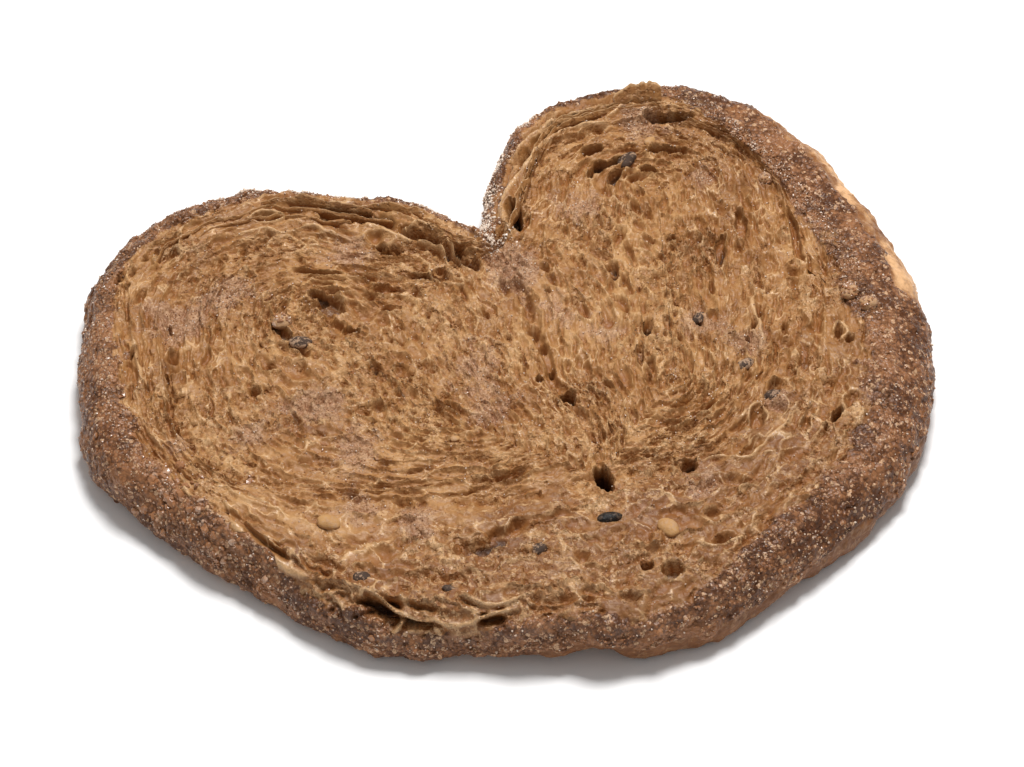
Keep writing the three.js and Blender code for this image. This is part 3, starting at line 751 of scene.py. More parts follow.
def strand_ridges(xy: Array) -> Relief:
    """The long ridges: the height that they stand at, with how much they cover as the crest."""
    height = np.zeros(xy.shape[:-1])
    cover = np.zeros(xy.shape[:-1])
    for width, rise, corners in STRANDS:
        if rise > 0.0:
            near, distance, strength = strand_measures(xy, width, corners)
            share = np.clip(strength * np.exp(-((distance / (1.1 * width)) ** 2)), 0.0, 1.0)
            stronger = share > cover[near]
            height[near] = np.where(stronger, 0.55 * rise + 0.05, height[near])
            cover[near] = np.maximum(cover[near], share)
    return Relief(height, np.zeros(height.shape), cover)


def strand_measures(xy: Array, width: float, corners: tuple) -> tuple[Array, Array, Array]:
    """Where a strand runs.

    Args:
        xy: Points of the plan.
        width: Its half width in mm.
        corners: The points that it runs through.

    Returns:
        Which points lie near it, how far from its middle they lie, and how strong it is there.
    """
    line = SmoothCurve(corners).at(np.linspace(0.0, 1.0, 8 * len(corners)))
    reach = 3.0 * width
    near = np.all((xy > line.min(axis=0) - reach) & (xy < line.max(axis=0) + reach), axis=-1)
    if not near.any():
        return near, np.zeros(0), np.zeros(0)
    p = flat_points(xy[near])
    shifted = xy[near] + 0.25 * sway(p, 1.6, 47)
    distance, place = distance_to(line, shifted)
    strength = 0.85 + 0.25 * swell(p, 2.0, 45)
    if corners[0] != corners[-1]:
        strength = strength * ease(np.minimum(place, 1.0 - place) / 0.12)
    return near, distance, strength


@dataclass(frozen=True)
class LayerStack:
    """Thin baked layers that part and meet again round flat air cells.

    Attributes:
        layers: How many layers lie side by side.
        pitch: Distance between layers in mm.
        stretch: How much longer than wide a cell is at the first layer.
        edge_stretch: The same at the last layer.
        pores: Share of the small cells that are open.
        shingle: How far a layer's one edge stands over its other, in mm.
        seed: Which set of random numbers to use.
        wander: How many layers a layer strays from its line.
        lined_from: How far across thin layers start to lie close side by side.
    """

    layers: int
    pitch: float
    stretch: float
    edge_stretch: float
    pores: float
    shingle: float
    seed: int
    wander: float = 0.7
    lined_from: float = 0.5

    def relief(self, xy: Array, across: Array, rings: "RingMeasures") -> Relief:
        """The layers' walls and cells.

        Args:
            xy: Points of the plan, by ring and station.
            across: How far across the layers each point lies, from 0 to 1.
            rings: The rings' lengths, and how far round them each point lies.

        Returns:
            Heights and masks for the points.
        """
        p = flat_points(xy)
        stray = swell(p, 9.0, self.seed) + 0.5 * swell(p, 3.6, self.seed + 1)
        waves = 0.3 * swell(p, 1.5, self.seed + 2) + 0.12 * swell(p, 0.7, self.seed + 5)
        lined = ease((across - self.lined_from) / 0.35)
        across = across + (self.wander * stray + waves) / self.layers
        drift = 0.9 * swell(p, 2.6, self.seed + 6) + 0.35 * swell(p, 1.1, self.seed + 7)
        shifted = rings.moved(drift)
        broad = self.network(across, shifted, 0.6, self.seed + 20)
        fine = self.network(across, shifted, 1.25, self.seed + 40)
        return self.cell_relief(xy, broad, fine, lined)

    def loose_relief(self, xy: Array) -> Relief:
        """The same where no layer can be told from the next, as along the seam."""
        shifted = xy + 0.5 * sway(flat_points(xy), 1.9, self.seed)
        broad = flat_grains(shifted, 2.3 * self.pitch, self.seed + 20)
        fine = flat_grains(shifted, 1.1 * self.pitch, self.seed + 40)
        return self.cell_relief(xy, broad, fine, np.zeros(xy.shape[:-1]))

    def cell_relief(self, xy: Array, broad: Cells, fine: Cells, lined: Array) -> Relief:
        """What two networks of cells do to the surface.

        Args:
            xy: Points of the plan.
            broad: The network of large cells.
            fine: The network of small cells.
            lined: Where thin layers lie close side by side (1).

        Returns:
            Heights and masks for the points.
        """
        p = flat_points(xy)
        open_here = openness(xy)
        crumbly = crumbliness(xy)
        calm = ease(0.75 + 1.1 * swell(p, 4.2, self.seed + 8))
        bowls = ease((broad.chance - 0.12) / 0.1) * (0.35 + 0.65 * broad.other)
        wide = np.minimum(0.65 + 0.75 * open_here, 1.7) * (1.0 - 0.45 * lined)
        bowls = 1.15 * bowls * wide * (0.4 + 0.6 * calm) * broad.bowl(0.1, 0.92)
        gaps = ease((broad.chance - 1.0 + 0.1 * open_here) / 0.03)
        gaps = gaps * (0.7 + 0.8 * open_here) * broad.bowl(0.5, 0.85)
        small = ease((fine.chance - 1.0 + self.pores) / 0.1) * (0.35 + 0.65 * fine.other)
        small = 0.75 * small * (0.75 + 0.25 * crumbly + 0.2 * lined) * fine.bowl(0.15, 0.92)
        broad_wall = ease((broad.nearness() - 0.72) / 0.28)
        fine_wall = ease((fine.nearness() - 0.7) / 0.3)
        crest = np.maximum(0.85 * broad_wall, (0.75 + 0.15 * lined) * fine_wall)
        uneven = 0.8 + 0.55 * swell(p, 1.7, self.seed + 4)
        height = 0.2 * broad_wall * uneven - bowls - gaps - small
        height += self.shingle * (broad.slant + 0.35 * fine.slant * (0.3 + 0.7 * crumbly))
        # The finish paints the cells' depth as painted shade and their walls with the crests'
        # painted highlight.
        return Relief(height, np.clip((bowls + gaps) / 2.5 + small / 1.7, 0.0, 1.0), crest * uneven)

    def network(self, across: Array, rings: "RingMeasures", share: float, seed: int) -> Cells:
        """Cells that lie along the layers like bricks that were pushed about.

        Args:
            across: How far across the layers each point lies, from 0 to 1.
            rings: The rings' lengths, and how far round them each point lies.
            share: Rows of cells for each layer.
            seed: Which set of random numbers to use.

        Returns:
            How near the nearest cells' middles are to each point.
        """
        layers = self.layers * share
        pitch = self.pitch / share
        layer = across * layers
        gap = np.floor(layer)
        found = Cells.none(across.shape)
        for row in (gap - 1, gap, gap + 1):
            length = rings.length_at((row + 0.5) / layers)
            stretch = mix(self.stretch, self.edge_stretch, ease((row + 0.5) / layers))
            wanted = pitch * stretch * (0.7 + 0.6 * scramble(row, 0, 0, seed))
            count = np.maximum(3.0, np.round(length / wanted))
            place = rings.around * count + 9.0 * scramble(row, 1, 0, seed)
            for cell in (np.floor(place) - 1, np.floor(place), np.floor(place) + 1):
                own = np.mod(cell, count)
                aside = place - cell - 0.5 - 0.7 * (scramble(row, own, 1, seed) - 0.5)
                aside = aside * length / count / stretch
                ahead = layer - row - 0.5 - 0.6 * (scramble(row, own, 2, seed) - 0.5)
                distance = np.hypot(aside, ahead * pitch)
                chances = (scramble(row, own, k, seed) for k in (3, 4))
                lean = ahead * (1.5 * scramble(row, own, 5, seed) - 0.4)
                found.offer(distance, *chances, lean)
        return found

    def cut_face(
        self, xy: Array, across: Array, rings: "RingMeasures", firm: Array
    ) -> tuple[Relief, Array]:
        """All relief of the cut face.

        Args:
            xy: Points of the plan, by ring and station.
            across: How far across the layers each point lies, from 0 to 1.
            rings: The rings' lengths, and how far round them each point lies.
            firm: Where the layers can be told apart (1) and where not (0).

        Returns:
            Heights and masks, and coordinates that run with the layers.
        """
        layered = self.relief(xy, across, rings)
        loose = LOOSE_STACK.loose_relief(xy)
        small = crumbs(xy)
        deep = hollows(xy)
        grooves = strand_grooves(xy)
        ridges = strand_ridges(xy)
        smooth = 1.0 - 0.75 * np.clip(1.8 * np.maximum(deep.pore, grooves.pore), 0.0, 1.0)
        height = (mix(loose.height, layered.height, firm) + small.height) * smooth
        standing = ridges.height + 0.5 * small.height
        height = mix(height + deep.height + grooves.height, standing, ridges.crest)
        # Painted shade comes from cells, pits, pockets and grooves; the crests' painted highlight
        # from walls, lips and ridges.
        pore = np.maximum(mix(loose.pore, layered.pore, firm), grooves.pore)
        pore = np.maximum(pore, np.maximum(small.pore, deep.pore)) * (1.0 - ridges.crest)
        crest = np.maximum(mix(loose.crest, layered.crest, firm), ridges.crest)
        turn = 2.0 * math.pi * rings.around
        radius = rings.lengths.mean() / (2.0 * math.pi)
        width = across * self.layers * self.pitch
        grain = np.stack([radius * np.cos(turn), radius * np.sin(turn), width], -1)
        crest = np.maximum(crest, np.maximum(small.crest, deep.crest))
        return Relief(height, pore, crest), grain


LEFT_STACK = LayerStack(
    layers=18, pitch=1.3, stretch=1.4, edge_stretch=4.5, pores=0.8, shingle=0.45, seed=200
)
RIGHT_STACK = LayerStack(
    layers=17, pitch=1.3, stretch=1.3, edge_stretch=3.8, pores=0.8, shingle=0.4, seed=300
)
OUTER_STACK = LayerStack(
    layers=9,
    pitch=1.7,
    stretch=4.0,
    edge_stretch=4.6,
    pores=0.75,
    shingle=0.5,
    seed=400,
    wander=0.5,
    lined_from=-0.4,
)
LOOSE_STACK = LayerStack(
    layers=1, pitch=1.15, stretch=1.0, edge_stretch=1.0, pores=0.75, shingle=0.45, seed=600
)


@dataclass
class RingMeasures:
    """How long rings of points are, and how far round them each point lies.

    Attributes:
        shares: Each ring's share of the way across the layers.
        around: How far round its ring each point lies, from 0 to 1.
        lengths: Each ring's length in mm.
    """

    shares: Array
    around: Array
    lengths: Array

    @classmethod
    def of(cls, xy: Array, shares: Array) -> "RingMeasures":
        """Measures rings of plan points."""
        steps = np.linalg.norm(np.diff(xy, axis=1), axis=-1)
        run = np.concatenate([np.zeros((len(xy), 1)), np.cumsum(steps, axis=1)], axis=1)
        lengths = np.maximum(run[:, -1], 0.001)
        return cls(shares, run / lengths[:, None], lengths)

    def moved(self, shift: Array) -> "RingMeasures":
        """The same with each point moved along its ring by a distance in mm."""
        around = self.around + shift / np.maximum(self.lengths, 12.0)[:, None]
        return RingMeasures(self.shares, around, self.lengths)

    def length_at(self, share: Array) -> Array:
        """The length of the ring at a share of the way across."""
        return np.interp(share, self.shares, self.lengths)


def valley_height(xy: Array) -> Array:
    """Height at the edges where coils and outer layers meet."""
    return THICKNESS - VALLEY_DROP + 0.5 * swell(flat_points(xy), 19.0, 5)


def top_profile(rows: Array, across: Array) -> tuple[Array, Array]:
    """The smooth top between the coils' edge and the rim.

    Args:
        rows: Rows of HEART at the stations.
        across: How far across, from 0 at the coils' edge over 1 at the shoulder's top to 1 + half
            pi at the rim, by ring and station.

    Returns:
        Points by ring and station, and which way the surface faces there.
    """
    width = PLAN.shoulder_width(rows)
    shoulder = PLAN.inset(rows, width)
    flat = np.minimum(across, 1.0)[..., None]
    turn = np.clip(across - 1.0, 0.0, math.pi / 2)
    level = mix(PLAN.coil_point(rows)[None], shoulder[None], flat)
    inward = PLAN.inward(rows)[None]
    curved = PLAN.rim_point(rows)[None] + inward * (width * (1.0 - np.sin(turn)))[..., None]
    xy = np.where(across[..., None] > 1.0, curved, level)
    plateau = valley_height(shoulder) + WRAP_RISE
    lip = LIP_HEIGHT + PLAN.arch_lift(rows)
    level_z = valley_height(level) + WRAP_RISE * ease(across / 0.2)
    z = np.where(across > 1.0, lip + (plateau - lip) * np.cos(turn), level_z)
    return in_space(xy, z), in_space(-inward * np.sin(turn)[..., None], np.cos(turn))


def layer_ends(rows: Array) -> Array:
    """How far across the layers reach."""
    return np.interp(rows, *np.array(LAYER_ENDS).T)


def crust_start(p: Array, across: Array, rows: Array) -> Array:
    """Where the crust lies over the layers (1) and where they are bare (0)."""
    ragged = 0.14 * swell(p, 6.0, 141) + 0.22 * crumple(p, 2.2, 142) + 0.1 * swell(p, 0.8, 145)
    start = np.minimum(layer_ends(rows) - ragged, layers_width(rows) - LEAST_UNDER_CRUST)
    return ease((across - start) / 0.2)


def behind_right(rows: Array) -> Array:
    """Where the rim rises behind the right lobe (1), by row of HEART."""
    first, last = BEHIND_ROWS
    return ease((rows - first) / ROW_FADE) * (1.0 - ease((rows - last) / ROW_FADE))


def sugar_cover(p: Array, across: Array, rows: Array) -> Array:
    """How thickly sugar covers the pastry, from 0 to 1.

    Args:
        p: Points by ring and station.
        across: How far across they lie; it goes on to 1 + pi where the lip meets the table.
        rows: Rows of HEART at the stations.

    Returns:
        One number for each point.
    """
    left = ease((-8.0 - p[..., 0]) / 20.0)
    end = 2.3 - 0.9 * behind_right(rows)[None] + 0.7 * left + 0.4 * crumple(p, 4.0, 113)
    spread = 0.85 + 0.3 * left + 0.9 * crumple(p, 6.0, 111) + 0.5 * crumple(p, 2.4, 115)
    cover = (1.0 - ease((across - end) / 0.22)) * np.clip(spread, 0.0, 1.0)
    return crust_start(p, across, rows) * cover


def dusting(xy: Array) -> Array:
    """How thickly sugar dust lies, from 0 to 1."""
    p = flat_points(xy)
    bare = 0.12 + 0.4 * ease((-30.0 - xy[..., 1]) / 12.0)
    spread = 0.9 * patch_sum(xy, DUST_PATCHES) + 0.55 * crumple(p, 9.0, 61) - bare
    return ease(spread + 0.5 * crumple(p, 1.6, 64))


def toasting(xy: Array) -> Array:
    """How dark the bake is, from 0 to 1."""
    p = flat_points(xy)
    near_tip = 0.95 * ease((-20.0 - xy[..., 1]) / 20.0)
    right = 0.25 * ease((xy[..., 0] - 18.0) / 25.0)
    patchy = 0.55 * crumple(p, 12.0, 71) + 0.3 * swell(p, 3.2, 75)
    return np.clip(0.4 + near_tip + right + patchy, 0.0, 1.0)


# ---- sheets of points as meshes ----------------------------------------------------------------


@dataclass
class Sheet:
    """Rows of points that close round on themselves, with their masks.

    Attributes:
        points: Rows, columns and x, y, z in plan mm.
        masks: One array of numbers for each mask.
        grain: Coordinates in mm that run with the layers, for the finish.
    """

    points: Array
    masks: dict[Mask, Array]
    grain: Array

    def build(self, name: str, sharp_angle: float = 60.0) -> Piece:
        """Adds a grid, lays its vertices on the points and welds the edges that meet.

        Args:
            name: The piece's name.
            sharp_angle: Edges with a larger angle, in degrees, stay sharp.

        Returns:
            The new piece.
        """
        rows, columns = self.points.shape[:2]
        self.points[:, -1] = self.points[:, 0]
        self.grain[:, -1] = self.grain[:, 0]
        bpy.ops.mesh.primitive_grid_add(x_subdivisions=columns - 1, y_subdivisions=rows - 1)
        piece = bpy.context.object
        piece.name = name
        mesh = piece.data
        mesh.name = name
        found = read(mesh.vertices, "co", 3).round(6)
        order = np.lexsort((found[:, 0], found[:, 1]))
        laid = np.empty((rows * columns, 3))
        laid[order] = to_metres(self.points).reshape(-1, 3)
        mesh.vertices.foreach_set("co", laid.ravel())
        for mask, values in self.masks.items():
            ordered = np.empty(rows * columns)
            ordered[order] = np.clip(values, 0.0, 1.0).ravel()
            add_values(mesh, mask.value, "FLOAT", ordered)
        laid[order] = (self.grain * MM).reshape(-1, 3)
        add_values(mesh, GRAIN, "FLOAT_VECTOR", laid)
        mesh.update()
        weld(piece)
        bpy.ops.object.shade_smooth_by_angle(angle=math.radians(sharp_angle))
        return piece

    def stretch(self, first: int, last: int) -> "Sheet":
        """A stretch of a closed tube as a body of its own, closed at both ends.

        Args:
            first: The column where it starts.
            last: The column where it ends.

        Returns:
            The stretch, with its sections as rows.
        """
        cut = self.changed(lambda v: v[:, first : last + 1].swapaxes(0, 1))
        closed = cut.changed(lambda v: np.concatenate([v[:1], v, v[-1:]]))
        for end in (0, -1):
            closed.points[end] = closed.points[end].mean(axis=0)
        return closed

    def closed_across(self) -> "Sheet":
        """The same with its first ring once more at the end, so that it closes into a tube."""
        return self.changed(lambda v: np.concatenate([v, v[:1]]))

    def changed(self, change: Callable[[Array], Array]) -> "Sheet":
        """The same with one change made to its points, masks and coordinates alike."""
        masks = {mask: change(values) for mask, values in self.masks.items()}
        return Sheet(change(self.points), masks, change(self.grain))


def read(items: bpy.types.bpy_prop_collection, field: str, width: int) -> Array:
    """Reads the same numbers, width of them, from each of a mesh's items."""
    numbers = np.empty(len(items) * width)
    items.foreach_get(field, numbers)
    return numbers.reshape(-1, width)


def add_values(mesh: bpy.types.Mesh, name: str, kind: str, values: Array) -> None:
    """Gives each point of a mesh a number (kind FLOAT) or a vector (kind FLOAT_VECTOR)."""
    attribute = mesh.attributes.new(name, kind, "POINT")
    attribute.data.foreach_set("value" if kind == "FLOAT" else "vector", values.ravel())


def to_metres(points: Array) -> Array:
    """Plan points in mm as points of the finished thing in metres."""
    middle = np.array([*PLAN_MIDDLE, 0.0])
    return (points - middle) * MM


def edit_all(piece: Piece) -> None:
    """Opens a piece for editing, with all of it selected."""
    bpy.context.view_layer.objects.active = piece
    bpy.ops.object.mode_set(mode="EDIT")
    bpy.ops.mesh.select_all(action="SELECT")


def weld(piece: Piece) -> None:
    """Joins the vertices that meet, and turns all faces outwards."""
    edit_all(piece)
    bpy.ops.mesh.remove_doubles(threshold=WELD * MM)
    bpy.ops.mesh.dissolve_degenerate(threshold=WELD * MM)
    bpy.ops.mesh.select_all(action="SELECT")
    bpy.ops.mesh.normals_make_consistent(inside=False)
    bpy.ops.object.mode_set(mode="OBJECT")


def underside_height(xy: Array) -> Array:
    """Height of the baked underside over the table."""
    p = flat_points(xy)
    return UNDERSIDE_GAP + 0.1 * swell(p, 2.6, 81) + 0.05 * swell(p, 0.9, 82)


# ---- the main pieces ---------------------------------------------------------------------------

LEFT_STATIONS = 800
RIGHT_STATIONS = 850
SEAM_STATIONS = 280


@dataclass
class Coil:
    """One lobe's coil of layers, from the crease that it is folded round to its edge.

    Attributes:
        side: Which lobe it is.
        stack: Its layers.
        top_rings: Rings of points from the crease to the edge on top.
        split: The ring where its middle, with half the points to a ring, meets its outer part.
        wall_rings: Rings down its edge.
        bottom_rings: Rings across the underside of each part.
        crease_steps: Places along the crease where the layers' ends meet.
        crease_pull: How far the layers keep to their own place along the crease, from 0 to 1.
        crease_reach: Share of the way to the edge within which they gather at those places.
    """

    side: Side
    stack: LayerStack
    top_rings: int = 150
    split: int = 75
    wall_rings: int = 2
    bottom_rings: int = 8
    crease_steps: int = 90
    crease_pull: float = 0.62
    crease_reach: float = 0.03

    def edge(self) -> Array:
        """The coil's edge, closed, with its first point once more at the end."""
        seam = PLAN.seam.at(np.arange(1, SEAM_STATIONS) / SEAM_STATIONS)
        if self.side is Side.LEFT:
            rows = PLAN.even_rows(0, TIP_ROW, LEFT_STATIONS)
            edge = np.concatenate([PLAN.coil_point(rows), seam[::-1]])
        else:
            rows = PLAN.even_rows(TIP_ROW, LAST_ROW, RIGHT_STATIONS)
            edge = np.concatenate([PLAN.coil_point(rows), seam])
        return np.concatenate([edge, edge[:1]])

    def rings(self, spreads: Array) -> Array:
        """Rings of plan points between the crease and the edge.

        Args:
            spreads: Each ring's share of the way from the crease to the edge.

        Returns:
            Points by ring and station.
        """
        edge = self.edge()
        start, end = (np.array(point, float) for point in CREASES[self.side])
        fold = end - start
        share = ease(0.5 + ((edge - start) @ fold / (fold @ fold) - 0.5) * self.crease_pull)
        snapped = np.round(share * self.crease_steps) / self.crease_steps
        at_crease = ease(1.0 - spreads / self.crease_reach)[:, None]
        feet = start + mix(share[None], snapped[None], at_crease)[..., None] * fold
        return mix(feet, edge[None], spreads[:, None, None])

    def top(self) -> tuple[Array, Relief, Array]:
        """All points of the cut face, with their masks and the layers' coordinates."""
        spreads = np.arange(self.top_rings + 1) / self.top_rings
        xy = self.rings(spreads)
        spread = np.repeat(spreads[:, None], xy.shape[1], axis=1)
        from_edge = (1.0 - spread) * self.stack.layers
        from_crease = spread * self.stack.layers
        firm = ease(from_edge / 1.2) * ease(from_crease / 1.5)
        relief, grain = self.stack.cut_face(xy, spread, RingMeasures.of(xy, spreads), firm)
        height = valley_height(xy) + COIL_RISE * (1.0 - spread**3) + relief.height
        return in_space(xy, np.maximum(height, THINNEST)), relief, grain

    def build(self) -> list[Piece]:
        """The coil's middle and its outer part."""
        top, relief, grain = self.top()
        split = self.split / self.top_rings
        below = np.linspace(split, 0.0, self.bottom_rings + 1)
        middle = closed_sheet(
            top[: self.split + 1, ::2],
            relief.part(slice(0, self.split + 1), 2),
            grain[: self.split + 1, ::2],
            self.rings(below)[:, ::2],
            rings_at(grain, below)[:, ::2],
            self.wall_rings,
        )
        outer_top = top[self.split :].copy()
        outer_top[0, 1::2] = 0.5 * (outer_top[0, :-1:2] + outer_top[0, 2::2])
        below = np.linspace(1.0, split, self.bottom_rings + 1)
        outer = closed_sheet(
            outer_top,
            relief.part(slice(self.split, None), 1),
            grain[self.split :],
            self.rings(below),
            rings_at(grain, below),
            self.wall_rings,
        )
        name = f"{self.side.value}_coil"
        return [middle.build(f"{name}_middle"), outer.closed_across().build(f"{name}_outer")]


def rings_at(rings: Array, shares: Array) -> Array:
    """The rings that lie at shares of the way from the first to the last."""
    return rings[np.round(shares * (len(rings) - 1)).astype(int)]


def closed_sheet(
    top: Array,
    relief: Relief,
    grain: Array,
    bottom_xy: Array,
    bottom_grain: Array,
    walls: int,
    sugar: Array | None = None,
) -> Sheet:
    """A top surface carried on down a wall and over the underside.

    Args:
        top: Points of the top by ring and station.
        relief: The top's masks.
        grain: Coordinates that run with the top's layers, in mm.
        bottom_xy: Plan points of the underside, from the wall on.
        bottom_grain: Coordinates that run with the layers there, in mm.
        walls: How many rings of points the wall has.
        sugar: How thickly sugar covers the top, if it does.

    Returns:
        One sheet of all rings.
    """
    under = in_space(bottom_xy, underside_height(bottom_xy))
    shares = (np.arange(1, walls + 1) / (walls + 1))[:, None, None]
    wall = mix(top[-1][None], under[0][None], shares)
    rest = np.concatenate([wall, under])
    blank = np.zeros(rest.shape[:2])
    plan = top[..., :2]
    shown = {
        Mask.PORE: relief.pore,
        Mask.CREST: relief.crest,
        Mask.DUST: dusting(plan),
        Mask.TOAST: toasting(plan),
        Mask.FLAKES: crumbliness(plan),
        Mask.SUGAR: blank_like(top) if sugar is None else sugar,
    }
    masks = {m: np.concatenate([v, blank + UNDERSIDE.get(m, 0.0)]) for m, v in shown.items()}
    wall_grain = np.repeat(grain[-1:], walls, axis=0)
    return Sheet(
        np.concatenate([top, rest]), masks, np.concatenate([grain, wall_grain, bottom_grain])
    )


def blank_like(points: Array) -> Array:
    """A zero for each point."""
    return np.zeros(points.shape[:2])


def crust_roughness(p: Array, sugar: Array) -> Array:
    """How far crags and sugar stand out of the crust.

    Args:
        p: Points of the smooth crust in mm.
        sugar: How thickly sugar covers it, from 0 to 1.

    Returns:
        One height for each point in mm.
    """
    large = nearest_grains(p, 2.3, 91)
    small = nearest_grains(p, 0.75, 111)
    lumpy = ease(0.35 + 1.1 * swell(p, 5.0, 99))
    lumps = 0.55 * ease(1.0 - large.first / 1.5) * lumpy * (0.25 + 0.75 * large.other)
    lumps += 0.25 * large.slant
    grit = 0.16 * np.sqrt(np.clip(1.0 - small.first / 0.7, 0.0, 1.0)) * (0.4 + small.other)
    grit += 0.16 * small.slant - 0.1
    crags = 1.1 * crumple(p, 8.0, 101) + 0.5 * crumple(p, 2.8, 103)
    bare = 0.1 * swell(p, 0.8, 104) + 0.05 * swell(p, 0.4, 105)
    return crags + mix(0.35 * lumps + bare, 0.3 + lumps + grit, ease(1.6 * sugar))


@dataclass
class OuterLayers:
    """The layers that run round both coils.

    Attributes:
        stack: The layers.
        names: The pieces that they are made in, from the cleft over the left lobe round to the
            right one.
        top_rings: Rings of points from the coils' edge to where the crust starts.
        wall_rings: Rings down the outer side.
        bottom_rings: Rings across the underside.
        leeway: How many stations a cut between two pieces may be moved either way.
    """

    stack: LayerStack
    names: tuple[str, ...] = ("outer_layers_left", "outer_layers_front", "outer_layers_right")
    top_rings: int = 108
    wall_rings: int = 2
    bottom_rings: int = 8
    leeway: int = 90

    def even_across(self, rows: Array, shares: Array) -> Array:
        """How far across each ring lies, with even steps over the plateau and the shoulder."""
        fine = np.linspace(0.0, 1.0, 61)[:, None] * layers_width(rows)[None]
        steps = np.linalg.norm(np.diff(top_profile(rows, fine)[0], axis=0), axis=-1)
        run = np.concatenate([np.zeros((1, len(rows))), np.cumsum(steps, axis=0)])
        across = [
            np.interp(shares * run[-1, n], run[:, n], fine[:, n]) for n in range(len(rows))
        ]
        return np.stack(across, axis=1)

    def sheet(self) -> Sheet:
        """All rings with heights and masks."""
        rows = all_rows()
        shares = np.arange(self.top_rings + 1) / self.top_rings
        across = self.even_across(rows, shares)
        smooth, normal = top_profile(rows, across)
        xy = smooth[..., :2]
        share = np.repeat(shares[:, None], len(rows), axis=1)
        covered = crust_start(smooth, across, rows)
        sugar = sugar_cover(smooth, across, rows)
        firm = ease(share * self.stack.layers) * (1.0 - 0.7 * covered)
        relief, grain = self.stack.cut_face(xy, share, RingMeasures.of(xy, shares), firm)
        bump = mix(relief.height, crust_roughness(smooth, sugar), covered)
        shown = Relief(bump, relief.pore * (1.0 - covered), relief.crest * (1.0 - covered))
        inset = np.linspace(1.0, 0.0, self.bottom_rings + 1)
        sole = PLAN.inset(rows, SOLE_INSET)
        top = smooth + normal * bump[..., None]
        top[..., 2] = np.maximum(top[..., 2], THINNEST)
        return closed_sheet(
            top,
            shown,
            grain,
            mix(PLAN.coil_point(rows)[None], sole[None], inset[:, None, None]),
            rings_at(grain, inset),
            self.wall_rings,
            sugar,
        ).closed_across()

    def build(self) -> list[Piece]:
        """The finished outer layers, stretch by stretch, parted where no pocket lies."""
        whole = self.sheet()
        count = whole.points.shape[1] - 1
        deepest = whole.masks[Mask.PORE].max(axis=0)
        cuts = [0, count]
        for n in range(1, len(self.names)):
            first = round(count * n / len(self.names)) - self.leeway
            window = deepest[first : first + 2 * self.leeway]
            cuts.insert(n, first + int(window.argmin()))
        return [
            whole.stretch(first, last).build(name)
            for name, first, last in zip(self.names, cuts, cuts[1:])
        ]


def layers_width(rows: Array) -> Array:
    """How far across the outer layers' pieces reach, a little beneath the crust."""
    return np.clip(layer_ends(rows) + MOST_UNDER_CRUST, 1.0, WIDEST_ACROSS)


def all_rows() -> Array:
    """Rows of the rim's stations, from the cleft all the way round."""
    left = PLAN.even_rows(0, TIP_ROW, LEFT_STATIONS)
    right = PLAN.even_rows(TIP_ROW, LAST_ROW, RIGHT_STATIONS)
    return np.concatenate([left, right[1:]])


